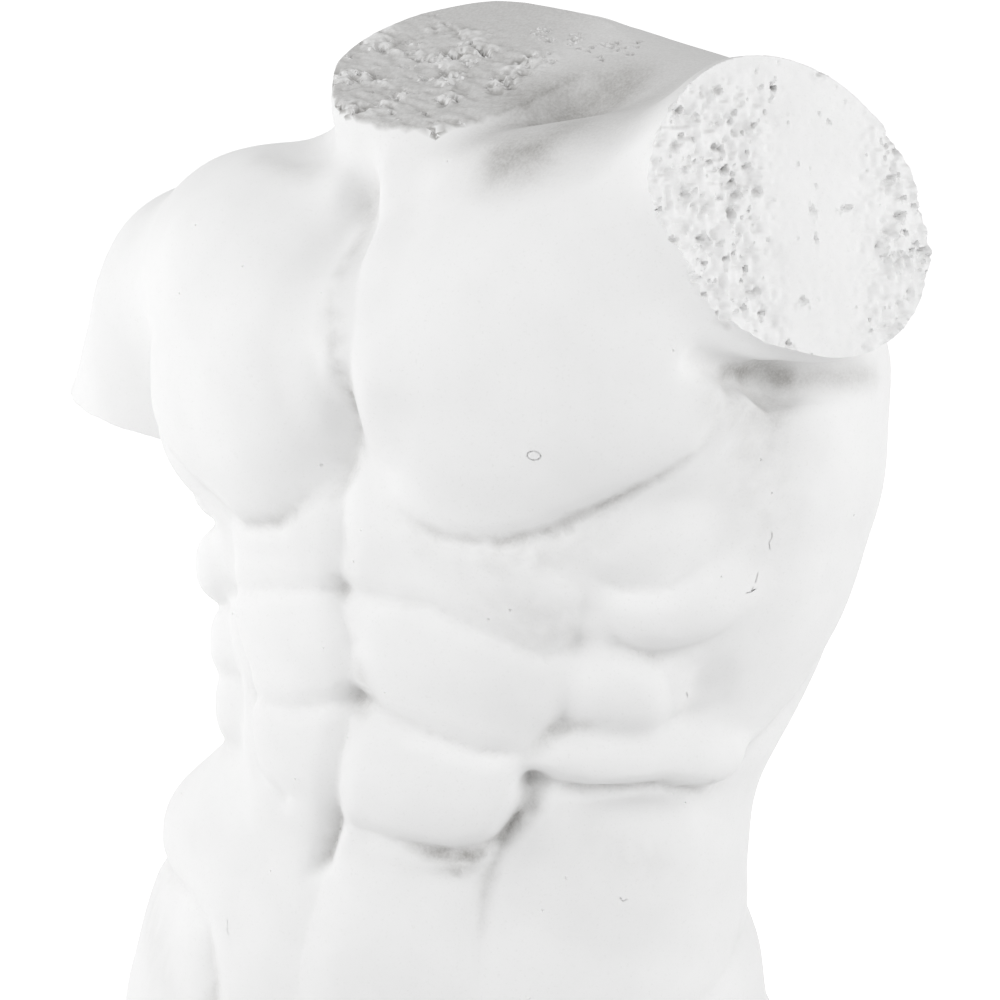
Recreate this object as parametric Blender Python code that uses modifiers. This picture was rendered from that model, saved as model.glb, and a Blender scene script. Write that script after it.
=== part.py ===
"""Headless and armless male torso in white cast stone, standing on a low plinth.

The figure faces -Y and its own left is +X. The origin is the middle of the plinth's underside.
The torso is one solid form: soft masses are blended together in a volume, turned into a mesh,
thinned, and then cut flat at the neck, at both upper arms and at the thighs.
"""

import math

import bmesh
import bpy
import numpy as np
import openvdb
from mathutils import Matrix, Vector

# Driving dimensions, in metres.
TORSO_HEIGHT = 0.70
PLINTH_HEIGHT = 0.05
# From the cut thighs to the plinth's sides and to its front and back.
PLINTH_SIDE_MARGIN = 0.016
PLINTH_FRONT_MARGIN = 0.055
PLINTH_EDGE = 0.004
SEAT_GAP = 0.0003
CLAY_CELL = 0.005
# Cells that half of a furrow's width takes at least.
FEWEST_CELLS = 2.4
TORSO_TRIANGLES = 9000
STONE_COLOUR = (0.91, 0.91, 0.90)

# The figure is drawn in seventieths of its height, which are centimetres at this size.
UNIT = TORSO_HEIGHT / 70

# Lowest and highest corner of the block that holds the figure, in units like all that follows.
BLOCK = ((-29, -15, -3), (29, 17, 75))
# Distance that stands for far away from the figure.
FAR = 50.0

# Cuts: a point on each flat and the direction it faces.
NECK_CUT = (Vector((-1.8, -2.6, 67.2)), Vector((0.05, -0.36, 0.93)))
LEFT_ARM_CUT = (Vector((18.2, -3.6, 63.6)), Vector((0.853, -0.492, 0.174)))
RIGHT_ARM_CUT = (Vector((-20.6, 0.0, 49.3)), Vector((-0.16, 0.0, -0.987)))
THIGH_CUT = (Vector((-1.9, 0.0, 0.0)), Vector((0.0, 0.0, -1.0)))
# Sizes of the boxes that make the cuts, and how far the neck's box is spun on its flat.
NECK_BOX, NECK_SPIN = (16.6, 20, 12), -20.0
LEFT_ARM_BOX = (30, 30, 24)
RIGHT_ARM_BOX = (12.5, 15, 9)
THIGH_BOX = (50, 40, 10)

# Thighs: upper end, lower end, radius at each.
RIGHT_THIGH = ((-10.6, -1.8, 19.0), (-11.4, -1.2, -6.0), 8.4, 7.2)
LEFT_THIGH = ((5.8, -0.6, 18.5), (7.6, -2.2, -6.0), 7.9, 6.8)

# Trunk sections: height, middle across, middle front to back, half breadth on the right and on
# the left, half depth in front and behind.
TRUNK_SECTIONS = (
    (10.0, -2.4, 0.0, 12.5, 12.0, 7.5, 8.4),
    (14.0, -2.4, -0.2, 15.8, 14.0, 9.0, 10.2),
    (20.0, -2.4, -0.4, 18.2, 15.6, 10.6, 12.0),
    (26.0, -2.3, -0.4, 17.0, 15.7, 11.0, 11.0),
    (31.0, -1.8, -0.3, 15.1, 14.1, 11.1, 9.8),
    (35.0, -1.2, -0.3, 12.0, 14.4, 10.9, 9.4),
    (39.0, -0.6, -0.1, 12.7, 15.9, 10.9, 9.5),
    (44.0, 0.0, 0.1, 14.5, 17.8, 10.9, 10.0),
    (50.0, 0.4, 0.3, 15.3, 19.0, 11.0, 10.8),
    (56.0, 0.6, 0.8, 15.0, 18.6, 9.8, 10.6),
    (61.0, 0.4, 1.3, 13.0, 14.5, 8.0, 8.5),
    (66.0, 0.0, 1.5, 8.5, 9.5, 6.0, 6.5),
)
TRUNK_BOTTOM, TRUNK_TOP = 13.0, 64.0
# Length of one degree of angle on the trunk's surface.
ARC = 0.22


def unit_vector(values):
    vector = np.array(values, float)
    return vector / np.linalg.norm(vector)


def smooth_profile(heights):
    """The trunk's six section sizes at each height, eased between the sections."""
    rows = np.array(TRUNK_SECTIONS)
    steps = np.arange(-10.0, 90.0, 0.25)
    window = np.hanning(21)
    window /= window.sum()
    sizes = []
    for column in range(1, rows.shape[1]):
        line = np.interp(steps, rows[:, 0], rows[:, column])
        padded = np.pad(line, 10, mode="edge")
        eased = np.convolve(padded, window, mode="valid")
        sizes.append(np.interp(heights, steps, eased))
    return sizes


def trunk_spot(angle, height):
    """The point on the trunk's surface at an angle from the front, turning to the figure's
    left, with the outward direction there."""
    middle_x, middle_y, right, left, front, back = (float(size) for size in smooth_profile(height))
    turn = math.radians(angle)
    breadth = left if math.sin(turn) > 0 else right
    depth = front if math.cos(turn) > 0 else back
    point = np.array(
        [middle_x + breadth * math.sin(turn), middle_y - depth * math.cos(turn), height]
    )
    outward = unit_vector([math.sin(turn) / breadth, -math.cos(turn) / depth, 0.0])
    return point, outward


class Clay:
    """A block of distances to the figure's surface, negative inside it."""

    def __init__(self, low, high, cell):
        self.low = np.array(low, float)
        self.cell = cell
        counts = np.ceil((np.array(high) - self.low) / cell).astype(int) + 1
        lines = [self.low[i] + cell * np.arange(counts[i]) for i in range(3)]
        self.lines = [line.astype(np.float32) for line in lines]
        self.field = np.full(counts, FAR, np.float32)

    def block(self, centre, reach):
        """The part of the block within reach of a centre, with its coordinates."""
        cuts = []
        reach = np.zeros(3) + reach
        for axis in range(3):
            line = self.lines[axis]
            first = np.searchsorted(line, centre[axis] - reach[axis])
            last = np.searchsorted(line, centre[axis] + reach[axis])
            cuts.append(slice(first, max(first, last)))
        x = self.lines[0][cuts[0]][:, None, None]
        y = self.lines[1][cuts[1]][None, :, None]
        z = self.lines[2][cuts[2]][None, None, :]
        return tuple(cuts), x, y, z

    def add(self, cuts, distance, softness):
        old = self.field[cuts]
        overlap = np.maximum(softness - np.abs(old - distance), 0.0) / softness
        self.field[cuts] = np.minimum(old, distance) - overlap * overlap * softness / 4

    def take(self, cuts, distance, softness):
        old = self.field[cuts]
        hole = -distance
        overlap = np.maximum(softness - np.abs(old - hole), 0.0) / softness
        self.field[cuts] = np.maximum(old, hole) + overlap * overlap * softness / 4

    def trunk(self, softness):
        cuts, x, y, z = self.block((0, 0, 40), 100)
        middle_x, middle_y, right, left, front, back = (
            size.astype(np.float32) for size in smooth_profile(z)
        )
        x = x - middle_x
        y = y - middle_y
        breadth = np.where(x > 0, left, right)
        depth = np.where(y < 0, front, back)
        ratio = np.sqrt((x / breadth) ** 2 + (y / depth) ** 2) + 1e-6
        slope = np.sqrt((x / breadth**2) ** 2 + (y / depth**2) ** 2) + 1e-6
        side = ratio * (ratio - 1) / slope
        ends = np.maximum(z - TRUNK_TOP, TRUNK_BOTTOM - z)
        overlap = np.maximum(softness - np.abs(side - ends), 0.0) / softness
        whole = np.maximum(side, ends) + overlap * overlap * softness / 4
        self.add(cuts, whole, 0.5)

    def ellipsoid_distance(self, centre, radii, axes, reach, power):
        cuts, x, y, z = self.block(centre, reach)
        local = [
            np.abs(
                axis[0] * (x - centre[0]) + axis[1] * (y - centre[1]) + axis[2] * (z - centre[2])
            )
            / size
            + 1e-6
            for axis, size in zip(axes, radii)
        ]
        ratio = sum(part**power for part in local) ** (1 / power)
        slope = np.sqrt(sum((part ** (power - 1) / size) ** 2 for part, size in zip(local, radii)))
        return cuts, (ratio - 1) * ratio ** (power - 1) / slope

    def ellipsoid(self, centre, radii, axes, softness, cut=False, power=2.0, eased=None):
        """An egg shape. Eased is two heights and the softness reached between them."""
        reach = max(radii) * 1.3 + softness + 1
        cuts, distance = self.ellipsoid_distance(centre, radii, axes, reach, power)
        if eased:
            low, high, most = eased
            share = np.clip((self.lines[2][cuts[2]] - low) / (high - low), 0, 1)
            softness = softness + (most - softness) * share * share * (3 - 2 * share)
        if cut:
            self.take(cuts, distance, softness)
        else:
            self.add(cuts, distance, softness)

    def limb(self, start, end, start_radius, end_radius, softness, cut=False):
        """A round bar that tapers from one radius to the other."""
        start, end = np.array(start, float), np.array(end, float)
        along = end - start
        length = np.linalg.norm(along)
        reach = length / 2 + max(start_radius, end_radius) + softness + 1
        cuts, x, y, z = self.block((start + end) / 2, reach)
        x, y, z = x - start[0], y - start[1], z - start[2]
        share = (x * along[0] + y * along[1] + z * along[2]) / length**2
        share = np.clip(share, 0.0, 1.0)
        gap = np.sqrt(
            (x - share * along[0]) ** 2 + (y - share * along[1]) ** 2 + (z - share * along[2]) ** 2
        )
        distance = gap - (start_radius + (end_radius - start_radius) * share)
        if cut:
            self.take(cuts, distance, softness)
        else:
            self.add(cuts, distance, softness)

    def path(self, points, radii, softness, cut=False):
        for i in range(len(points) - 1):
            self.limb(points[i], points[i + 1], radii[i], radii[i + 1], softness, cut)

    def pad(self, angle, height, half_width, half_height, rise, turn=0.0, softness=0.8, thick=3.0,
            power=2.5):
        """A muscle that lies on the trunk, given by its footprint and by how far it rises."""
        point, outward = trunk_spot(angle, height)
        foot = math.sqrt(1 - ((thick - rise) / thick) ** 2)
        across = np.array([-outward[1], outward[0], 0.0])
        up = np.array([0.0, 0.0, 1.0])
        lean = math.radians(turn)
        wide = across * math.cos(lean) + up * math.sin(lean)
        tall = up * math.cos(lean) - across * math.sin(lean)
        centre = point - outward * (thick - rise)
        radii = (half_width / foot, half_height / foot, thick)
        self.ellipsoid(centre, radii, (wide, tall, outward), softness, power=power)

    def shave(self, softness):
        """Takes the shoulders down to the neck cut beside the neck, so that the cut runs out
        into them and leaves no step."""
        point, facing = NECK_CUT
        cuts, x, y, z = self.block(point, 14)
        facing = facing.normalized()
        above = facing.x * (x - point.x) + facing.y * (y - point.y) + facing.z * (z - point.z)
        beside = np.maximum(x - 7.0 - 0.36 * y, 0)
        above = above - 0.12 - 0.1 * beside**2
        self.take(cuts, -above, softness)

    def unrolled(self, low, high):
        """A box of the block with each cell's angle, height and share of the trunk's radius."""
        centre = (low + high) / 2
        cuts, x, y, z = self.block(centre, (high - low) / 2)
        middle_x, middle_y, right, left, front, back = (
            size.astype(np.float32) for size in smooth_profile(z)
        )
        x = x - middle_x
        y = y - middle_y
        x = x / np.where(x > 0, left, right)
        y = y / np.where(y < 0, front, back)
        return cuts, np.degrees(np.arctan2(x, -y)), z, np.sqrt(x * x + y * y)

    def crease(self, line, width, depth, sharp=1.5):
        """A furrow along (angle, height) spots on the trunk. A spot may add its own depth.
        A negative depth raises a ridge."""
        # A furrow too narrow for the cells is made wider, and deeper so that it still shows.
        gain = max(FEWEST_CELLS * self.cell / width, 1.0)
        width *= gain
        depth *= gain
        spots = np.array([trunk_spot(spot[0], spot[1])[0] for spot in line])
        margin = width + 3.5
        cuts, angle, z, share = self.unrolled(spots.min(axis=0) - margin, spots.max(axis=0) + margin)
        push = np.zeros(angle.shape, np.float32)
        for start, end in zip(line[:-1], line[1:]):
            u = ((angle - start[0] + 180) % 360 - 180) * ARC
            v = z - start[1]
            along_u = ((end[0] - start[0] + 180) % 360 - 180) * ARC
            along_v = end[1] - start[1]
            part = np.clip((u * along_u + v * along_v) / (along_u**2 + along_v**2), 0, 1)
            gap = np.sqrt((u - part * along_u) ** 2 + (v - part * along_v) ** 2)
            first = start[2] if len(start) > 2 else 1.0
            last = end[2] if len(end) > 2 else 1.0
            slope = np.maximum(1 - gap / width, 0) ** sharp
            push = np.maximum(push, slope * (first + (last - first) * part))
        near = np.clip((1.5 - share) / 0.15, 0, 1) * np.clip((share - 0.45) / 0.15, 0, 1)
        self.field[cuts] += depth * push * near

    def swell(self, angle, height, half_width, half_height, rise, turn=0.0):
        """A soft rise on the trunk, or a hollow when the rise is negative."""
        point = trunk_spot(angle, height)[0]
        reach = max(half_width, half_height) + 4.0
        cuts, angles, z, share = self.unrolled(point - reach, point + reach)
        u = ((angles - angle + 180) % 360 - 180) * ARC
        v = z - height
        lean = math.radians(turn)
        wide = (u * math.cos(lean) + v * math.sin(lean)) / half_width
        tall = (v * math.cos(lean) - u * math.sin(lean)) / half_height
        bump = np.maximum(1 - wide**2 - tall**2, 0) ** 2
        near = np.clip((1.5 - share) / 0.15, 0, 1) * np.clip((share - 0.45) / 0.15, 0, 1)
        self.field[cuts] -= rise * bump * near

    def surface(self):
        """Points and quads of the surface, in metres."""
        grid = openvdb.FloatGrid(FAR)
        grid.copyFromArray(self.field)
        points, quads = grid.convertToQuads()
        return (points * self.cell + self.low) * UNIT, quads


def turned_axes(yaw, pitch=0.0, roll=0.0):
    """Rows of a turn: yaw about Z, then pitch about the sideways axis, then roll."""
    matrix = (
        Matrix.Rotation(math.radians(yaw), 3, "Z")
        @ Matrix.Rotation(math.radians(pitch), 3, "X")
        @ Matrix.Rotation(math.radians(roll), 3, "Y")
    )
    return np.array(matrix).T


def model_trunk(clay):
    clay.trunk(4.0)


def model_hips_and_thighs(clay):
    clay.limb(*RIGHT_THIGH, 3.0)
    clay.limb(*LEFT_THIGH, 3.0)
    clay.ellipsoid((-8.8, 6.0, 18.4), (7.6, 6.8, 8.6), turned_axes(-12), 2.0)
    clay.ellipsoid((4.4, 5.4, 17.4), (7.2, 6.6, 8.2), turned_axes(12), 2.0)
    clay.ellipsoid((-2.4, -7.8, 16.0), (4.4, 3.2, 4.2), turned_axes(0), 2.5)
    # The muscles on the front of the thighs.
    clay.ellipsoid((-12.4, -4.4, 9.5), (5.4, 5.6, 10.5), turned_axes(8), 3.0)
    clay.ellipsoid((8.0, -4.4, 9.0), (5.2, 5.2, 10.5), turned_axes(-8), 3.0)
    # The furrow between the buttocks.
    furrow = ((-2.2, 11.6, 25.0), (-2.2, 10.2, 19.5), (-2.3, 8.8, 12.5))
    clay.path(furrow, (0.5, 0.9, 1.2), 1.4, cut=True)


def model_neck_and_shoulders(clay):
    clay.limb((-0.8, 1.0, 59.0), (-1.6, -3.6, 73.0), 6.9, 5.8, 2.5)
    # Trapezius and deltoid masses.
    clay.limb((-3.2, 2.4, 64.2), (-15.6, 1.6, 55.0), 3.3, 3.1, 2.5)
    clay.limb((2.6, 2.6, 65.5), (12.5, 1.2, 63.6), 3.9, 4.2, 2.0)
    clay.limb((-15.8, 0.7, 54.6), (-20.5, 0.0, 47.4), 5.8, 5.4, 1.5)
    clay.ellipsoid((-17.2, 0.4, 52.5), (6.3, 6.3, 7.0), turned_axes(0, 0, 20), 2.0)
    clay.limb((-9.5, -4.6, 57.4), (-16.4, -1.6, 54.6), 4.0, 4.2, 2.5)
    clay.limb((-13.0, -3.2, 57.0), (-17.6, -1.2, 55.6), 3.4, 3.4, 2.5)
    arm = unit_vector(LEFT_ARM_CUT[1])
    back = unit_vector(np.cross((0, 0, 1), arm))
    rise = np.cross(arm, back)
    major = unit_vector(0.62 * back - 0.78 * rise)
    minor = np.cross(arm, major)
    clay.ellipsoid((17.8, -3.35, 62.8), (11.0, 7.1, 5.3), (arm, major, minor), 2.3)
    clay.limb((8.5, -5.5, 61.0), (16.4, -7.6, 65.0), 2.6, 1.6, 2.5)
    # Clavicles, the notch between them and the hollows above them.
    clay.path(((-3.4, -7.0, 61.9), (-8.5, -5.2, 61.4), (-15.5, -2.0, 58.6)), (0.8, 0.8, 0.8), 1.4)
    clay.path(((-0.2, -7.4, 62.8), (6.0, -6.4, 64.0), (13.0, -5.2, 66.4)), (0.7, 0.5, 1.0), 2.0)
    clay.ellipsoid((-1.8, -9.3, 62.2), (1.2, 1.9, 1.3), turned_axes(0), 1.2, cut=True)
    clay.shave(1.0)
    clay.ellipsoid((8.6, -6.4, 68.6), (4.8, 3.4, 3.0), turned_axes(20, 0, -10), 2.2, cut=True)
    clay.ellipsoid((6.3, -9.2, 65.6), (1.7, 1.9, 1.6), turned_axes(0), 1.6, cut=True)
    clay.ellipsoid((-9.6, -5.2, 65.2), (4.4, 2.4, 2.6), turned_axes(-20, 0, 24), 1.5, cut=True)


def model_chest(clay):
    right_axes, left_axes = turned_axes(-16, 0, 8), turned_axes(18, 0, -14)
    clay.ellipsoid((-7.2, -6.6, 53.2), (7.3, 5.2, 7.4), right_axes, 1.0, power=2.6, eased=(52, 58, 3.0))
    clay.ellipsoid((8.2, -6.6, 55.2), (8.7, 5.0, 7.4), left_axes, 1.0, power=2.6, eased=(52, 58, 3.0))
    # The upper chest fills in between the breast muscles and the clavicles.
    clay.ellipsoid((-8.6, -4.8, 58.2), (7.0, 4.6, 4.4), turned_axes(-18, 0, 10), 3.0)
    clay.ellipsoid((9.0, -4.8, 60.6), (8.4, 4.6, 4.8), turned_axes(20, 0, -14), 3.0)
    clay.swell(-1, 56.5, 2.6, 8.0, 1.2)
    sternum = ((-4, 61.2, 0.5), (-1, 59.0), (1, 57.5), (1, 55.5), (-1.5, 52.5), (-3.5, 50.2), (-7, 49.0, 0.5))
    clay.crease(sternum, 0.9, 0.45)
    # The armpit under the raised arm.
    clay.path(((16.0, -7.6, 56.6), (16.9, -3.6, 55.2), (20.0, 0.4, 55.2)), (0.4, 0.8, 0.7), 1.0, cut=True)


def model_abdomen(clay):
    # Rows of the rectus: angle, height, half width, half height, rise and turn of each pad.
    clay.pad(19, 47.0, 4.8, 2.4, 0.8, -10, softness=1.6, power=2.1)
    clay.pad(18, 42.1, 4.9, 3.2, 1.25, -8, softness=1.5, power=2.1)
    clay.pad(20, 36.9, 4.6, 3.3, 1.3, -2, softness=1.4, power=2.1)
    clay.pad(-19, 46.6, 4.5, 2.4, 0.8, 12, softness=1.6, power=2.1)
    clay.pad(-17, 42.0, 4.2, 3.2, 1.2, 8, softness=1.5, power=2.1)
    clay.pad(-12, 37.0, 3.4, 3.1, 1.1, 0, softness=1.5, power=2.1)
    clay.swell(4, 26.5, 6.5, 6.5, 0.6)
    # The line down the middle, from the breastbone to the navel and below it.
    middle = ((-4, 50.5, 0.6), (-2, 47.3), (-3, 44.9, 0.4), (1, 42.8), (2, 40.2, 0.4), (2, 38.0), (2, 35.5))
    clay.crease(middle + ((0, 33.0, 0.6), (0, 32.0, 0.4)), 1.1, 0.4)
    clay.crease(((0, 32.0), (-2, 28.0), (-2, 22.0, 0.2)), 1.8, 0.3)
    # The navel is a narrow slit.
    clay.crease(((2, 35.0, 0.3), (1, 33.6, 1.0), (-1, 32.2, 1.0), (-3, 31.2, 0.3)), 0.7, 0.5)
    # The fold under each breast muscle.
    left_fold = ((8, 48.9, 0.4), (14, 48.1), (22, 48.1), (30, 48.9), (39, 50.8), (48, 52.8), (52, 55.5, 0.5))
    clay.crease(left_fold, 0.9, 0.4)
    clay.crease(((-8, 49.4, 0.4), (-16, 47.4), (-26, 46.8), (-36, 48.4), (-50, 51.0, 0.5)), 0.9, 0.35)
    # Grooves across each column.
    clay.crease(((-3, 44.9), (13, 45.0), (21, 44.2), (32, 43.2, 0.9), (38, 43.8, 0.5)), 0.9, 0.3)
    clay.crease(((2, 40.2), (10, 39.7), (26, 38.6), (34, 38.6), (38, 40.0, 0.9)), 0.9, 0.4)
    clay.crease(((-3, 44.9), (-18, 44.4), (-38, 43.0, 0.7)), 0.9, 0.3)
    clay.crease(((2, 40.0), (-10, 39.2), (-26, 38.9, 0.8)), 0.9, 0.3)
    navel_fold = ((2, 34.2, 0.3), (16, 33.8, 0.7), (26, 33.6), (34, 34.4), (38, 36.0), (37, 37.2))
    clay.crease(navel_fold, 0.9, 0.45)
    clay.crease(((-1, 35.4, 0.4), (-12, 34.8, 0.8)), 1.4, 0.2)
    # Outer edges of the columns.
    left_edge = ((24, 48.4, 0.6), (36, 46.2, 0.8), (37, 43.6), (38, 41.5), (38, 40.0), (35, 38.2), (37, 37.2))
    clay.crease(left_edge, 1.0, 0.35)
    right_edge = ((-30, 47.0, 0.4), (-36, 43.2, 0.9), (-27, 40.2), (-26, 37.6), (-21, 35.6), (-12, 34.8, 0.6))
    clay.crease(right_edge, 1.0, 0.3)


def model_flanks(clay):
    # The left side: slips of muscle on the ribs, the roll above the waist and the hip.
    clay.pad(42, 48.4, 2.8, 1.7, 1.0, 24, softness=0.9, power=2.1)
    clay.pad(51, 45.6, 3.3, 2.0, 1.2, 16, softness=0.9, power=2.1)
    clay.pad(47, 41.7, 2.6, 2.0, 1.2, -6, softness=0.8, power=2.1)
    clay.pad(54, 38.3, 4.3, 1.7, 1.15, -4, softness=0.8, power=2.1)
    clay.crease(((36, 37.4), (47, 36.9, 1.2), (59, 37.2), (74, 36.4, 0.5)), 0.8, 0.5)
    clay.crease(((50, 43.4, 0.5), (58, 40.2, 0.9), (70, 40.6, 0.5)), 1.0, 0.3)
    clay.crease(((108, 43.5, 0.3), (98, 39.6), (84, 37.4), (78, 35.6, 0.4)), 1.6, 0.6)
    clay.crease(((33, 47.3, 0.3), (41, 46.4), (48, 46.6), (56, 47.8, 0.3)), 1.0, 0.3)
    clay.crease(((38, 45.4, 0.4), (43, 43.9), (50, 43.2), (58, 43.9, 0.6), (65, 45.2, 0.2)), 1.0, 0.45)
    clay.swell(63, 41.4, 1.8, 2.0, -0.5)
    clay.swell(78, 31.8, 9.0, 4.4, 0.9, -4)
    left_hip = ((140, 29.0, 0.3), (100, 27.8, 0.6), (75, 25.4, 0.6), (50, 21.0, 0.5), (20, 15.6, 0.7))
    clay.crease(left_hip, 1.8, 0.7)
    left_groin = ((37, 37.2), (36, 35.0, 1.3), (34, 32.6, 0.5), (32, 27.0, 0.25), (24, 20.0, 0.25))
    clay.crease(left_groin, 1.1, 0.55)
    # The right side.
    for height, rise in ((47.4, 1.35), (43.4, 1.35), (39.8, 1.1), (36.8, 0.9)):
        clay.pad(-56, height, 3.4, 1.8, rise, 14, softness=0.4)
    clay.swell(-62, 31.4, 7.5, 4.2, 0.9, 6)
    right_hip = ((-130, 28.6, 0.1), (-95, 27.6, 0.5), (-60, 28.0), (-36, 28.0), (-28, 27.0))
    clay.crease(right_hip + ((-24, 24.6), (-18, 19.0, 0.8), (-8, 14.6, 0.7)), 1.1, 0.36)


def model_back(clay):
    for side in (-1, 1):

        def line(*spots):
            """Spots beside the spine on this side, each with its own share of the depth."""
            return [(180 + side * turn, height, share) for turn, height, share in spots]

        # The columns beside the spine, the shoulder blades and the muscles that lie over them.
        clay.pad(180 + side * 13, 34.0, 2.9, 9.5, 1.1, side * 2, softness=1.6)
        clay.swell(180 + side * 33, 56.0, 6.6, 6.4, 0.9, side * 10)
        clay.crease(line((19, 61.0, 0.4), (21, 55.5, 1.0), (27, 50.4, 0.6)), 1.7, -0.4)
        clay.crease(line((20, 60.0, 0.3), (36, 61.6, 1.0), (56, 62.4, 0.4)), 1.8, -0.4)
        clay.crease(line((12, 49.0, 0.2), (34, 49.2, 1.0), (62, 53.0, 0.5)), 1.9, 0.6)
        clay.crease(line((3, 41.0, 0.3), (11, 49.0, 1.0), (17, 57.0, 0.5)), 1.8, 0.4)
        clay.crease(line((18, 29.5, 0.3), (36, 36.0, 1.0), (68, 44.0, 0.4)), 2.4, 0.6)
        clay.swell(180 + side * 12, 26.8, 2.4, 2.0, -0.45)
    # The furrow of the spine.
    spine = ((180, 65.0, 0.3), (180, 56.0, 0.5), (180, 45.0), (180, 33.0, 1.1), (181, 25.0, 0.5))
    clay.crease(spine, 2.6, 1.2)
    # The fold under each buttock.
    clay.path(((-16.0, 7.0, 10.0), (-9.0, 12.6, 8.8), (-4.0, 10.0, 10.2)), (0.6, 1.0, 0.8), 1.5, cut=True)
    clay.path(((11.0, 6.5, 9.6), (5.0, 11.6, 8.4), (-0.6, 9.4, 9.8)), (0.6, 1.0, 0.8), 1.5, cut=True)


def stump(thigh):
    """Middle and radius of a thigh where the thigh cut meets it."""
    top, bottom, top_radius, bottom_radius = thigh
    share = top[2] / (top[2] - bottom[2])
    middle = Vector(top).lerp(Vector(bottom), share)
    return middle, top_radius + (bottom_radius - top_radius) * share


def footprint():
    """Lowest and highest corner of the two cut thighs, in units."""
    stumps = [stump(RIGHT_THIGH), stump(LEFT_THIGH)]
    low = [min(middle[axis] - radius for middle, radius in stumps) for axis in (0, 1)]
    high = [max(middle[axis] + radius for middle, radius in stumps) for axis in (0, 1)]
    return Vector(low), Vector(high)


def thin(torso):
    """Brings the skin down to the chosen number of triangles."""
    decimate = torso.modifiers.new("Thin", "DECIMATE")
    decimate.ratio = TORSO_TRIANGLES / (len(torso.data.polygons) * 2)


def stone(name):
    """Matte white cast stone."""
    material = bpy.data.materials.new(name)
    material.use_nodes = True
    surface = material.node_tree.nodes["Principled BSDF"]
    surface.inputs["Base Color"].default_value = (*STONE_COLOUR, 1.0)
    surface.inputs["Roughness"].default_value = 0.85
    surface.inputs["Metallic"].default_value = 0.0
    material.diffuse_color = (*STONE_COLOUR, 1.0)
    return material


def add_object(name, mesh, collection):
    item = bpy.data.objects.new(name, mesh)
    collection.objects.link(item)
    return item


def box_mesh(name, size):
    """A box that stands on its own origin."""
    mesh = bpy.data.meshes.new(name)
    shape = bmesh.new()
    bmesh.ops.create_cube(shape, size=1)
    bmesh.ops.scale(shape, verts=shape.verts, vec=size)
    bmesh.ops.translate(shape, verts=shape.verts, vec=(0, 0, size[2] / 2))
    shape.to_mesh(mesh)
    shape.free()
    return mesh


def cut_flat(torso, name, flat, size, collection, spin=0.0):
    """Cuts the torso with a box whose near face lies on the flat. The size is in units, and
    the box may be spun on the flat."""
    point, facing = flat
    box = add_object(name, box_mesh(name, Vector(size) * UNIT), collection)
    turn = facing.normalized().to_track_quat("Z", "Y").to_matrix().to_4x4()
    turn = turn @ Matrix.Rotation(math.radians(spin), 4, "Z")
    box.data.transform(Matrix.Translation(point * UNIT) @ turn)
    box.location = torso.location
    box.hide_render = True
    box.display_type = "WIRE"
    boolean = torso.modifiers.new(name, "BOOLEAN")
    boolean.operation = "DIFFERENCE"
    boolean.object = box


def build_torso(collection, cutters):
    clay = Clay(*BLOCK, CLAY_CELL / UNIT)
    model_trunk(clay)
    model_hips_and_thighs(clay)
    model_neck_and_shoulders(clay)
    model_chest(clay)
    model_abdomen(clay)
    model_flanks(clay)
    model_back(clay)
    points, quads = clay.surface()
    mesh = bpy.data.meshes.new("torso")
    mesh.from_pydata(points.tolist(), [], quads.tolist())
    mesh.materials.append(stone("torso_stone"))
    torso = add_object("torso", mesh, collection)
    low, high = footprint()
    middle = (low + high) * UNIT / 2
    torso.location = (-middle.x, -middle.y, PLINTH_HEIGHT + SEAT_GAP)
    thin(torso)
    cut_flat(torso, "neck_cutter", NECK_CUT, NECK_BOX, cutters, spin=NECK_SPIN)
    cut_flat(torso, "left_arm_cutter", LEFT_ARM_CUT, LEFT_ARM_BOX, cutters)
    cut_flat(torso, "right_arm_cutter", RIGHT_ARM_CUT, RIGHT_ARM_BOX, cutters)
    cut_flat(torso, "thigh_cutter", THIGH_CUT, THIGH_BOX, cutters)


def build_plinth(collection):
    low, high = footprint()
    span = (high - low) * UNIT
    width = span.x + 2 * PLINTH_SIDE_MARGIN
    depth = span.y + 2 * PLINTH_FRONT_MARGIN
    mesh = box_mesh("plinth", (width, depth, PLINTH_HEIGHT))
    mesh.materials.append(stone("plinth_stone"))
    plinth = add_object("plinth", mesh, collection)
    edge = plinth.modifiers.new("Edge", "BEVEL")
    edge.width = PLINTH_EDGE
    edge.segments = 2


def build():
    for item in list(bpy.data.objects):
        bpy.data.objects.remove(item)
    scene = bpy.context.scene
    scene.unit_settings.system = "METRIC"
    collection = bpy.data.collections.new("man_statue")
    cutters = bpy.data.collections.new("cutters")
    scene.collection.children.link(collection)
    scene.collection.children.link(cutters)
    build_plinth(collection)
    build_torso(collection, cutters)


build()
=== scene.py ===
"""Looks for the man statue: a headless, armless male torso in white cast stone on a low plinth.

The figure is modelled in the same units and place as the solids, but finer: masses blended in a
volume, furrows between the muscles, and rough breaks at the neck and at both arms.
"""

import math

import bpy
import numpy as np
import openvdb
from mathutils import Matrix, Vector
from mathutils.bvhtree import BVHTree

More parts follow.
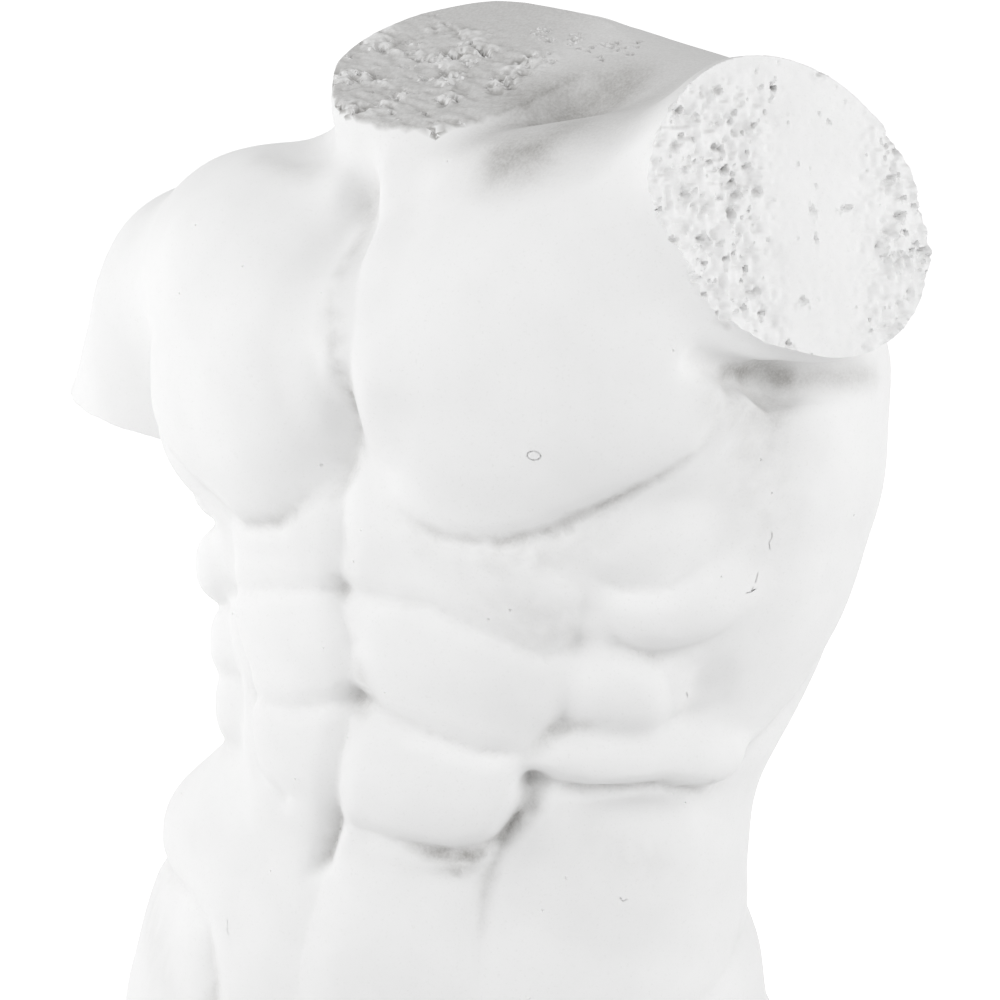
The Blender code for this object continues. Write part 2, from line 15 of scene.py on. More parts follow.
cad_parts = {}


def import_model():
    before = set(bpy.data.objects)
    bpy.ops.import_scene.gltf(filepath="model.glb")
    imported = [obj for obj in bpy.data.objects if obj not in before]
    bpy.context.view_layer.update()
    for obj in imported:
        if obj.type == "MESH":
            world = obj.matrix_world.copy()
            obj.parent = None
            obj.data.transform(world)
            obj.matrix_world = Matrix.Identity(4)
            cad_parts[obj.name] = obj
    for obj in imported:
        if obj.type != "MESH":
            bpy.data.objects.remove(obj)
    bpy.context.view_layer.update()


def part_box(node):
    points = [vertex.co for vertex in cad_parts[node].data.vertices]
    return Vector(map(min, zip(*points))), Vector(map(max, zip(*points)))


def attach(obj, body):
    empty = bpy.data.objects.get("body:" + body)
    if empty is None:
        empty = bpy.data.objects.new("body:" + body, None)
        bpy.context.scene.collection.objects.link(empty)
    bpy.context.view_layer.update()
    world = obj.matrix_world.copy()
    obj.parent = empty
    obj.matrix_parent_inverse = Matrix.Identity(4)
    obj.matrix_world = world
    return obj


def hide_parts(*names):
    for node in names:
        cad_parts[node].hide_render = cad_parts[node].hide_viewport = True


# One unit of the figure, in metres: a seventieth of the torso's height.
UNIT = 0.01
# Size of a volume's cell and the distance that empty cells hold, in units.
CELL = 0.2
FAR = 50.0
# Corners of the torso's volume, and how far from the skin hollows are looked for, in units.
BLOCK = ((-29, -15, -3), (29, 17, 75))
SKIN_BAND = 3
TORSO_TRIANGLES = 96000
PLINTH_TRIANGLES = 24000
# Radius of the plinth's worn edges, in units.
PLINTH_EDGE = 0.4
# Cells along each side of point_noise's table.
NOISE_CELLS = 64
# Faces that meet more sharply than this, in degrees, keep a crisp edge.
SHARP_ANGLE = 40
# Share of dust and painted top shade on the neck break and on what faces up beside it.
DUST_AND_TOP_SHADE = 0.47

# The photograph's camera: degrees round and up, metres away, lens and sensor in millimetres.
CAMERA_AZIMUTH, CAMERA_ELEVATION, CAMERA_DISTANCE = 37, 13, 1.9
CAMERA_LENS, CAMERA_SENSOR = 147.73, 36
# What the camera and the lights face, in units.
TARGET = Vector((-0.2, 0, 47.0))
# Lights: name, azimuth, elevation, distance, size and strength.
LIGHTS = (
    ("key", -42, 18, 2.4, 1.8, 22),
    ("front", 20, 20, 2.4, 1.8, 5.5),
    ("side", 94, 16, 2.4, 1.8, 20),
    ("back", 210, 15, 2.6, 1.8, 7),
)
FLOOR_HALF = 12.0

# Cuts: a point on each flat and the direction it faces.
NECK_CUT = (Vector((-1.8, -2.6, 67.2)), Vector((0.05, -0.36, 0.93)))
LEFT_ARM_CUT = (Vector((18.2, -3.6, 63.6)), Vector((0.853, -0.492, 0.174)))
RIGHT_ARM_CUT = (Vector((-20.6, 0.0, 49.3)), Vector((-0.16, 0.0, -0.987)))
THIGH_CUT = (Vector((-1.9, 0.0, 0.0)), Vector((0.0, 0.0, -1.0)))

# Thighs: upper end, lower end, radius at each.
RIGHT_THIGH = ((-10.6, -1.8, 19.0), (-11.4, -1.2, -6.0), 8.4, 7.2)
LEFT_THIGH = ((5.8, -0.6, 18.5), (7.6, -2.2, -6.0), 7.9, 6.8)

# Trunk sections: height, middle across, middle front to back, half breadth on the right and on
# the left, half depth in front and behind.
TRUNK_SECTIONS = (
    (10.0, -2.4, 0.0, 12.5, 12.0, 7.5, 8.4),
    (14.0, -2.4, -0.2, 15.8, 14.0, 9.0, 10.2),
    (20.0, -2.4, -0.4, 18.2, 15.6, 10.6, 12.0),
    (26.0, -2.3, -0.4, 17.0, 15.7, 11.0, 11.0),
    (31.0, -1.8, -0.3, 15.1, 14.1, 11.1, 9.8),
    (35.0, -1.2, -0.3, 12.0, 14.4, 10.9, 9.4),
    (39.0, -0.6, -0.1, 12.7, 15.9, 10.9, 9.5),
    (44.0, 0.0, 0.1, 14.5, 17.8, 10.9, 10.0),
    (50.0, 0.4, 0.3, 15.3, 19.0, 11.0, 10.8),
    (56.0, 0.6, 0.8, 15.0, 18.6, 9.8, 10.6),
    (61.0, 0.4, 1.3, 13.0, 14.5, 8.0, 8.5),
    (66.0, 0.0, 1.5, 8.5, 9.5, 6.0, 6.5),
)
TRUNK_BOTTOM, TRUNK_TOP = 13.0, 64.0
# Length of one degree of angle on the trunk's surface.
ARC = 0.22


def unit_vector(values):
    vector = np.array(values, float)
    return vector / np.linalg.norm(vector)


def smooth_profile(heights):
    """The trunk's six section sizes at each height, eased between the sections."""
    rows = np.array(TRUNK_SECTIONS)
    steps = np.arange(-10.0, 90.0, 0.25)
    window = np.hanning(21)
    window /= window.sum()
    sizes = []
    for column in range(1, rows.shape[1]):
        line = np.interp(steps, rows[:, 0], rows[:, column])
        padded = np.pad(line, 10, mode="edge")
        eased = np.convolve(padded, window, mode="valid")
        sizes.append(np.interp(heights, steps, eased))
    return sizes


def trunk_spot(angle, height):
    """The point on the trunk's surface at an angle from the front, turning to the figure's
    left, with the outward direction there."""
    middle_x, middle_y, right, left, front, back = (float(size) for size in smooth_profile(height))
    turn = math.radians(angle)
    breadth = left if math.sin(turn) > 0 else right
    depth = front if math.cos(turn) > 0 else back
    point = np.array(
        [middle_x + breadth * math.sin(turn), middle_y - depth * math.cos(turn), height]
    )
    outward = unit_vector([math.sin(turn) / breadth, -math.cos(turn) / depth, 0.0])
    return point, outward


def shares_of_trunk(x, y, sizes):
    """Places across the trunk, as shares of its half breadth and its half depth."""
    middle_x, middle_y, right, left, front, back = sizes
    x, y = x - middle_x, y - middle_y
    return x / np.where(x > 0, left, right), y / np.where(y < 0, front, back)


def arc(angle, start):
    """Length on the trunk's surface from one angle to another, the shorter way round."""
    return ((angle - start + 180) % 360 - 180) * ARC


def nearest_on_line(angle, height, start, end):
    """How far along a line on the trunk its nearest spot lies, from 0 to 1, and the gap to it."""
    u, v = arc(angle, start[0]), height - start[1]
    along_u, along_v = arc(end[0], start[0]), end[1] - start[1]
    part = np.clip((u * along_u + v * along_v) / (along_u**2 + along_v**2), 0, 1)
    return part, np.sqrt((u - part * along_u) ** 2 + (v - part * along_v) ** 2)


def rounding(first, second, softness):
    """How far the seam between two distances is rounded off."""
    overlap = np.maximum(softness - np.abs(first - second), 0.0) / softness
    return overlap * overlap * softness / 4


class Clay:
    """A block of distances to the figure's surface, negative inside it."""

    def __init__(self, low, high, cell):
        self.low = np.array(low, float)
        self.cell = cell
        counts = np.ceil((np.array(high) - self.low) / cell).astype(int) + 1
        lines = [self.low[i] + cell * np.arange(counts[i]) for i in range(3)]
        self.lines = [line.astype(np.float32) for line in lines]
        self.field = np.full(counts, FAR, np.float32)

    def block(self, centre, reach):
        """The part of the block within reach of a centre, with its coordinates."""
        cuts = []
        reach = np.zeros(3) + reach
        for axis in range(3):
            line = self.lines[axis]
            first = np.searchsorted(line, centre[axis] - reach[axis])
            last = np.searchsorted(line, centre[axis] + reach[axis])
            cuts.append(slice(first, max(first, last)))
        x = self.lines[0][cuts[0]][:, None, None]
        y = self.lines[1][cuts[1]][None, :, None]
        z = self.lines[2][cuts[2]][None, None, :]
        return tuple(cuts), x, y, z

    def join(self, cuts, distance, softness, cut=False):
        """Adds a form with a soft seam, or cuts it away."""
        old = self.field[cuts]
        if cut:
            hole = -distance
            self.field[cuts] = np.maximum(old, hole) + rounding(old, hole, softness)
        else:
            self.field[cuts] = np.minimum(old, distance) - rounding(old, distance, softness)

    def trunk(self, softness):
        cuts, x, y, z = self.block((0, 0, 40), 100)
        middle_x, middle_y, right, left, front, back = (
            size.astype(np.float32) for size in smooth_profile(z)
        )
        x = x - middle_x
        y = y - middle_y
        breadth = np.where(x > 0, left, right)
        depth = np.where(y < 0, front, back)
        ratio = np.sqrt((x / breadth) ** 2 + (y / depth) ** 2) + 1e-6
        slope = np.sqrt((x / breadth**2) ** 2 + (y / depth**2) ** 2) + 1e-6
        side = ratio * (ratio - 1) / slope
        ends = np.maximum(z - TRUNK_TOP, TRUNK_BOTTOM - z)
        self.join(cuts, np.maximum(side, ends) + rounding(side, ends, softness), 0.5)

    def ellipsoid(self, centre, radii, axes, softness, cut=False, power=2.0, eased=None):
        """An egg shape. Eased is two heights and the softness reached between them."""
        cuts, x, y, z = self.block(centre, max(radii) * 1.3 + softness + 1)
        x, y, z = x - centre[0], y - centre[1], z - centre[2]
        local = [
            np.abs(axis[0] * x + axis[1] * y + axis[2] * z) / size + 1e-6
            for axis, size in zip(axes, radii)
        ]
        ratio = sum(part**power for part in local) ** (1 / power)
        slope = np.sqrt(sum((part ** (power - 1) / size) ** 2 for part, size in zip(local, radii)))
        if eased:
            low, high, most = eased
            share = np.clip((self.lines[2][cuts[2]] - low) / (high - low), 0, 1)
            softness = softness + (most - softness) * share * share * (3 - 2 * share)
        self.join(cuts, (ratio - 1) * ratio ** (power - 1) / slope, softness, cut)

    def limb(self, start, end, start_radius, end_radius, softness, cut=False):
        """A round bar that tapers from one radius to the other."""
        start, end = np.array(start, float), np.array(end, float)
        along = end - start
        length = np.linalg.norm(along)
        reach = length / 2 + max(start_radius, end_radius) + softness + 1
        cuts, x, y, z = self.block((start + end) / 2, reach)
        x, y, z = x - start[0], y - start[1], z - start[2]
        share = (x * along[0] + y * along[1] + z * along[2]) / length**2
        share = np.clip(share, 0.0, 1.0)
        gap = np.sqrt(
            (x - share * along[0]) ** 2 + (y - share * along[1]) ** 2 + (z - share * along[2]) ** 2
        )
        distance = gap - (start_radius + (end_radius - start_radius) * share)
        self.join(cuts, distance, softness, cut)

    def path(self, points, radii, softness, cut=False):
        for i in range(len(points) - 1):
            self.limb(points[i], points[i + 1], radii[i], radii[i + 1], softness, cut)

    def pad(self, angle, height, half_width, half_height, rise, turn=0.0, softness=0.8, thick=3.0,
            power=2.5):
        """A muscle that lies on the trunk, given by its footprint and by how far it rises."""
        point, outward = trunk_spot(angle, height)
        foot = math.sqrt(1 - ((thick - rise) / thick) ** 2)
        across = np.array([-outward[1], outward[0], 0.0])
        up = np.array([0.0, 0.0, 1.0])
        lean = math.radians(turn)
        wide = across * math.cos(lean) + up * math.sin(lean)
        tall = up * math.cos(lean) - across * math.sin(lean)
        centre = point - outward * (thick - rise)
        radii = (half_width / foot, half_height / foot, thick)
        self.ellipsoid(centre, radii, (wide, tall, outward), softness, power=power)

    def shave(self, softness):
        """Takes the shoulders down to the neck cut beside the neck, so that the cut runs out
        into them and leaves no step."""
        point, facing = NECK_CUT
        cuts, x, y, z = self.block(point, 14)
        facing = facing.normalized()
        above = facing.x * (x - point.x) + facing.y * (y - point.y) + facing.z * (z - point.z)
        beside = np.maximum(x - 7.0 - 0.36 * y, 0)
        above = above - 0.12 - 0.1 * beside**2
        self.join(cuts, -above, softness, cut=True)

    def unroll(self):
        """Works out each cell's angle on the trunk and its share of the trunk's radius."""
        x, y, z = np.meshgrid(*self.lines, indexing="ij", sparse=True)
        x, y = shares_of_trunk(x, y, [size.astype(np.float32) for size in smooth_profile(z)])
        self.angle = np.degrees(np.arctan2(x, -y)).astype(np.float32)
        self.share = np.sqrt(x * x + y * y).astype(np.float32)

    def unrolled(self, low, high):
        """A box of the block with each cell's angle and height, and how near it is to the
        trunk's surface: 1 at the surface and 0 far from it."""
        cuts, x, y, z = self.block((low + high) / 2, (high - low) / 2)
        share = self.share[cuts]
        near = np.clip((1.5 - share) / 0.15, 0, 1) * np.clip((share - 0.45) / 0.15, 0, 1)
        return cuts, self.angle[cuts], z, near

    def crease(self, line, width, depth, sharp=1.5):
        """A furrow along (angle, height) spots on the trunk. A spot may add its own share of
        the depth. A negative depth raises a ridge."""
        spots = np.array([trunk_spot(spot[0], spot[1])[0] for spot in line])
        margin = width + 3.5
        cuts, angle, z, near = self.unrolled(spots.min(axis=0) - margin, spots.max(axis=0) + margin)
        push = np.zeros(angle.shape, np.float32)
        for start, end in zip(line[:-1], line[1:]):
            part, gap = nearest_on_line(angle, z, start, end)
            first = start[2] if len(start) > 2 else 1.0
            last = end[2] if len(end) > 2 else 1.0
            slope = np.maximum(1 - gap / width, 0) ** sharp
            push = np.maximum(push, slope * (first + (last - first) * part))
        self.field[cuts] += depth * push * near

    def swell(self, angle, height, half_width, half_height, rise, turn=0.0):
        """A soft rise on the trunk, or a hollow when the rise is negative."""
        point = trunk_spot(angle, height)[0]
        reach = max(half_width, half_height) + 4.0
        cuts, angles, z, near = self.unrolled(point - reach, point + reach)
        u, v = arc(angles, angle), z - height
        lean = math.radians(turn)
        wide = (u * math.cos(lean) + v * math.sin(lean)) / half_width
        tall = (v * math.cos(lean) - u * math.sin(lean)) / half_height
        bump = np.maximum(1 - wide**2 - tall**2, 0) ** 2
        self.field[cuts] -= rise * bump * near

    def surface(self):
        """Points and quads of the surface, in metres."""
        grid = openvdb.FloatGrid(FAR)
        grid.copyFromArray(self.field)
        points, quads = grid.convertToQuads()
        return (points * self.cell + self.low) * UNIT, quads


def turned_axes(yaw, pitch=0.0, roll=0.0):
    """Rows of a turn: yaw about Z, then pitch about the sideways axis, then roll."""
    matrix = (
        Matrix.Rotation(math.radians(yaw), 3, "Z")
        @ Matrix.Rotation(math.radians(pitch), 3, "X")
        @ Matrix.Rotation(math.radians(roll), 3, "Y")
    )
    return np.array(matrix).T


def model_hips_and_thighs(clay):
    clay.limb(*RIGHT_THIGH, 3.0)
    clay.limb(*LEFT_THIGH, 3.0)
    clay.ellipsoid((-8.8, 6.0, 18.4), (7.6, 6.8, 8.6), turned_axes(-12), 2.0)
    clay.ellipsoid((4.4, 5.4, 17.4), (7.2, 6.6, 8.2), turned_axes(12), 2.0)
    clay.ellipsoid((-2.4, -7.8, 16.0), (4.4, 3.2, 4.2), turned_axes(0), 2.5)
    # The muscles on the front of the thighs.
    clay.ellipsoid((-12.4, -4.4, 9.5), (5.4, 5.6, 10.5), turned_axes(8), 3.0)
    clay.ellipsoid((8.0, -4.4, 9.0), (5.2, 5.2, 10.5), turned_axes(-8), 3.0)
    # The furrow between the buttocks.
    clay.path(((-2.2, 11.6, 25.0), (-2.2, 10.2, 19.5), (-2.3, 8.8, 12.5)), (0.5, 0.9, 1.2), 1.4, cut=True)


def model_neck_and_shoulders(clay):
    clay.limb((-0.8, 1.0, 59.0), (-1.6, -3.6, 73.0), 6.9, 5.8, 2.5)
    # Trapezius and deltoid masses.
    clay.limb((-3.2, 2.4, 64.2), (-15.6, 1.6, 55.0), 3.3, 3.1, 2.5)
    clay.limb((2.6, 2.6, 65.5), (12.5, 1.2, 63.6), 3.9, 4.2, 2.0)
    clay.limb((-15.8, 0.7, 54.6), (-20.5, 0.0, 47.4), 5.8, 5.4, 1.5)
    clay.ellipsoid((-17.2, 0.4, 52.5), (6.3, 6.3, 7.0), turned_axes(0, 0, 20), 2.0)
    clay.limb((-9.5, -4.6, 57.4), (-16.4, -1.6, 54.6), 4.0, 4.2, 2.5)
    clay.limb((-13.0, -3.2, 57.0), (-17.6, -1.2, 55.6), 3.4, 3.4, 2.5)
    arm = unit_vector(LEFT_ARM_CUT[1])
    back = unit_vector(np.cross((0, 0, 1), arm))
    rise = np.cross(arm, back)
    major = unit_vector(0.62 * back - 0.78 * rise)
    minor = np.cross(arm, major)
    clay.ellipsoid((17.8, -3.35, 62.8), (11.0, 7.1, 5.3), (arm, major, minor), 2.3)
    clay.limb((8.5, -5.5, 61.0), (16.4, -7.6, 65.0), 2.6, 1.6, 2.5)
    # Clavicles, the notch between them and the hollows above them.
    clay.path(((-3.4, -7.0, 61.9), (-8.5, -5.2, 61.4), (-15.5, -2.0, 58.6)), (0.8, 0.8, 0.8), 1.4)
    clay.path(((-0.2, -7.4, 62.8), (6.0, -6.4, 64.0), (13.0, -5.2, 66.4)), (0.7, 0.5, 1.0), 2.0)
    clay.ellipsoid((-1.8, -9.3, 62.2), (1.2, 1.9, 1.3), turned_axes(0), 1.2, cut=True)
    clay.shave(1.0)
    clay.ellipsoid((8.6, -6.4, 68.6), (4.8, 3.4, 3.0), turned_axes(20, 0, -10), 2.2, cut=True)
    clay.ellipsoid((6.3, -9.2, 65.6), (1.7, 1.9, 1.6), turned_axes(0), 1.6, cut=True)
    clay.ellipsoid((-9.6, -5.2, 65.2), (4.4, 2.4, 2.6), turned_axes(-20, 0, 24), 1.5, cut=True)


def model_chest(clay):
    right_axes, left_axes = turned_axes(-16, 0, 8), turned_axes(18, 0, -14)
    clay.ellipsoid((-7.2, -6.6, 53.2), (7.3, 5.2, 7.4), right_axes, 1.0, power=2.6, eased=(52, 58, 3.0))
    clay.ellipsoid((8.2, -6.6, 55.2), (8.7, 5.0, 7.4), left_axes, 1.0, power=2.6, eased=(52, 58, 3.0))
    # The upper chest fills in between the breast muscles and the clavicles.
    clay.ellipsoid((-8.6, -4.8, 58.2), (7.0, 4.6, 4.4), turned_axes(-18, 0, 10), 3.0)
    clay.ellipsoid((9.0, -4.8, 60.6), (8.4, 4.6, 4.8), turned_axes(20, 0, -14), 3.0)
    clay.swell(-1, 56.5, 2.6, 8.0, 1.2)
    sternum = ((-4, 61.2, 0.5), (-1, 59.0), (1, 57.5), (1, 55.5), (-1.5, 52.5), (-3.5, 50.2), (-7, 49.0, 0.5))
    clay.crease(sternum, 0.9, 0.45)
    # The armpit under the raised arm.
    clay.path(((16.0, -7.6, 56.6), (16.9, -3.6, 55.2), (20.0, 0.4, 55.2)), (0.4, 0.8, 0.7), 1.0, cut=True)


def model_abdomen(clay):
    # Rows of the rectus: angle, height, half width, half height, rise, turn and softness.
    for row in (
        (19, 47.0, 4.8, 2.4, 0.8, -10, 1.6), (18, 42.1, 4.9, 3.2, 1.25, -8, 1.5),
        (20, 36.9, 4.6, 3.3, 1.3, -2, 1.4), (-19, 46.6, 4.5, 2.4, 0.8, 12, 1.6),
        (-17, 42.0, 4.2, 3.2, 1.2, 8, 1.5), (-12, 37.0, 3.4, 3.1, 1.1, 0, 1.5),
    ):
        clay.pad(*row, power=2.1)
    clay.swell(4, 26.5, 6.5, 6.5, 0.6)
    # The line down the middle, from the breastbone to the navel and below it.
    middle = ((-4, 50.5, 0.6), (-2, 47.3), (-3, 44.9, 0.4), (1, 42.8), (2, 40.2, 0.4), (2, 38.0), (2, 35.5))
    clay.crease(middle + ((0, 33.0, 0.6), (0, 32.0, 0.4)), 1.1, 0.4)
    clay.crease(((0, 32.0), (-2, 28.0), (-2, 22.0, 0.2)), 1.8, 0.3)
    # The navel is a narrow slit.
    clay.crease(((2, 35.0, 0.3), (1, 33.6, 1.0), (-1, 32.2, 1.0), (-3, 31.2, 0.3)), 0.7, 0.5)
    # The fold under each breast muscle.
    left_fold = ((8, 48.9, 0.4), (14, 48.1), (22, 48.1), (30, 48.9), (39, 50.8), (48, 52.8), (52, 55.5, 0.5))
    clay.crease(left_fold, 0.9, 0.4)
    clay.crease(((-8, 49.4, 0.4), (-16, 47.4), (-26, 46.8), (-36, 48.4), (-50, 51.0, 0.5)), 0.9, 0.35)
    # Grooves across each column.
    clay.crease(((-3, 44.9), (13, 45.0), (21, 44.2), (32, 43.2, 0.9), (38, 43.8, 0.5)), 0.9, 0.3)
    clay.crease(((2, 40.2), (10, 39.7), (26, 38.6), (34, 38.6), (38, 40.0, 0.9)), 0.9, 0.4)
    clay.crease(((-3, 44.9), (-18, 44.4), (-38, 43.0, 0.7)), 0.9, 0.3)
    clay.crease(((2, 40.0), (-10, 39.2), (-26, 38.9, 0.8)), 0.9, 0.3)
    navel_fold = ((2, 34.2, 0.3), (16, 33.8, 0.7), (26, 33.6), (34, 34.4), (38, 36.0), (37, 37.2))
    clay.crease(navel_fold, 0.9, 0.45)
    clay.crease(((-1, 35.4, 0.4), (-12, 34.8, 0.8)), 1.4, 0.2)
    # Outer edges of the columns.
    left_edge = ((24, 48.4, 0.6), (36, 46.2, 0.8), (37, 43.6), (38, 41.5), (38, 40.0), (35, 38.2), (37, 37.2))
    clay.crease(left_edge, 1.0, 0.35)
    right_edge = ((-30, 47.0, 0.4), (-36, 43.2, 0.9), (-27, 40.2), (-26, 37.6), (-21, 35.6), (-12, 34.8, 0.6))
    clay.crease(right_edge, 1.0, 0.3)


def model_flanks(clay):
    # The left side: slips of muscle on the ribs, the roll above the waist and the hip.
    for row in (
        (42, 48.4, 2.8, 1.7, 1.0, 24, 0.9), (51, 45.6, 3.3, 2.0, 1.2, 16, 0.9),
        (47, 41.7, 2.6, 2.0, 1.2, -6, 0.8), (54, 38.3, 4.3, 1.7, 1.15, -4, 0.8),
    ):
        clay.pad(*row, power=2.1)
    clay.crease(((36, 37.4), (47, 36.9, 1.2), (59, 37.2), (74, 36.4, 0.5)), 0.8, 0.5)
    clay.crease(((50, 43.4, 0.5), (58, 40.2, 0.9), (70, 40.6, 0.5)), 1.0, 0.3)
    clay.crease(((108, 43.5, 0.3), (98, 39.6), (84, 37.4), (78, 35.6, 0.4)), 1.6, 0.6)
    clay.crease(((33, 47.3, 0.3), (41, 46.4), (48, 46.6), (56, 47.8, 0.3)), 1.0, 0.3)
    clay.crease(((38, 45.4, 0.4), (43, 43.9), (50, 43.2), (58, 43.9, 0.6), (65, 45.2, 0.2)), 1.0, 0.45)
    clay.swell(63, 41.4, 1.8, 2.0, -0.5)
    clay.swell(78, 31.8, 9.0, 4.4, 0.9, -4)
    left_hip = ((140, 29.0, 0.3), (100, 27.8, 0.6), (75, 25.4, 0.6), (50, 21.0, 0.5), (20, 15.6, 0.7))
    clay.crease(left_hip, 1.8, 0.7)
    left_groin = ((37, 37.2), (36, 35.0, 1.3), (34, 32.6, 0.5), (32, 27.0, 0.25), (24, 20.0, 0.25))
    clay.crease(left_groin, 1.1, 0.55)
    # The right side.
    for height, rise in ((47.4, 1.35), (43.4, 1.35), (39.8, 1.1), (36.8, 0.9)):
        clay.pad(-56, height, 3.4, 1.8, rise, 14, softness=0.4)
    clay.swell(-62, 31.4, 7.5, 4.2, 0.9, 6)
    right_hip = ((-130, 28.6, 0.1), (-95, 27.6, 0.5), (-60, 28.0), (-36, 28.0), (-28, 27.0))
    clay.crease(right_hip + ((-24, 24.6), (-18, 19.0, 0.8), (-8, 14.6, 0.7)), 1.1, 0.36)


def model_back(clay):
    for side in (-1, 1):

        def line(*spots):
            """Spots beside the spine on this side, each with its own share of the depth."""
            return [(180 + side * turn, height, share) for turn, height, share in spots]

        # The columns beside the spine, the shoulder blades and the muscles that lie over them.
        clay.pad(180 + side * 13, 34.0, 2.9, 9.5, 1.1, side * 2, softness=1.6)
        clay.swell(180 + side * 33, 56.0, 6.6, 6.4, 0.9, side * 10)
        clay.crease(line((19, 61.0, 0.4), (21, 55.5, 1.0), (27, 50.4, 0.6)), 1.7, -0.4)
        clay.crease(line((20, 60.0, 0.3), (36, 61.6, 1.0), (56, 62.4, 0.4)), 1.8, -0.4)
        clay.crease(line((12, 49.0, 0.2), (34, 49.2, 1.0), (62, 53.0, 0.5)), 1.9, 0.6)
        clay.crease(line((3, 41.0, 0.3), (11, 49.0, 1.0), (17, 57.0, 0.5)), 1.8, 0.4)
        clay.crease(line((18, 29.5, 0.3), (36, 36.0, 1.0), (68, 44.0, 0.4)), 2.4, 0.6)
        clay.swell(180 + side * 12, 26.8, 2.4, 2.0, -0.45)
    # The furrow of the spine.
    spine = ((180, 65.0, 0.3), (180, 56.0, 0.5), (180, 45.0), (180, 33.0, 1.1), (181, 25.0, 0.5))
    clay.crease(spine, 2.6, 1.2)
    # The fold under each buttock.
    clay.path(((-16.0, 7.0, 10.0), (-9.0, 12.6, 8.8), (-4.0, 10.0, 10.2)), (0.6, 1.0, 0.8), 1.5, cut=True)
    clay.path(((11.0, 6.5, 9.6), (5.0, 11.6, 8.4), (-0.6, 9.4, 9.8)), (0.6, 1.0, 0.8), 1.5, cut=True)


def stump(thigh):
    """Middle and radius of a thigh where the thigh cut meets it."""
    top, bottom, top_radius, bottom_radius = thigh
    share = top[2] / (top[2] - bottom[2])
    middle = Vector(top).lerp(Vector(bottom), share)
    return middle, top_radius + (bottom_radius - top_radius) * share


def footprint():
    """Lowest and highest corner of the two cut thighs, in units."""
    stumps = [stump(RIGHT_THIGH), stump(LEFT_THIGH)]
    low = [min(middle[axis] - radius for middle, radius in stumps) for axis in (0, 1)]
    high = [max(middle[axis] + radius for middle, radius in stumps) for axis in (0, 1)]
    return Vector(low), Vector(high)


def noise_grid(lines, scale, seed):
    """Smooth noise between -1 and 1 on the grid of some coordinate lines."""
    random = np.random.default_rng(seed)
    spots = [(line - line[0]) / scale for line in lines]
    noise = random.uniform(-1, 1, [int(spot[-1]) + 2 for spot in spots]).astype(np.float32)
    for axis, spot in enumerate(spots):
        whole = spot.astype(int)
        part = spot - whole
        part = (part * part * (3 - 2 * part)).astype(np.float32)
        shape = [1] * len(spots)
        shape[axis] = -1
        part = part.reshape(shape)
        noise = np.take(noise, whole, axis) * (1 - part) + np.take(noise, whole + 1, axis) * part
    return noise


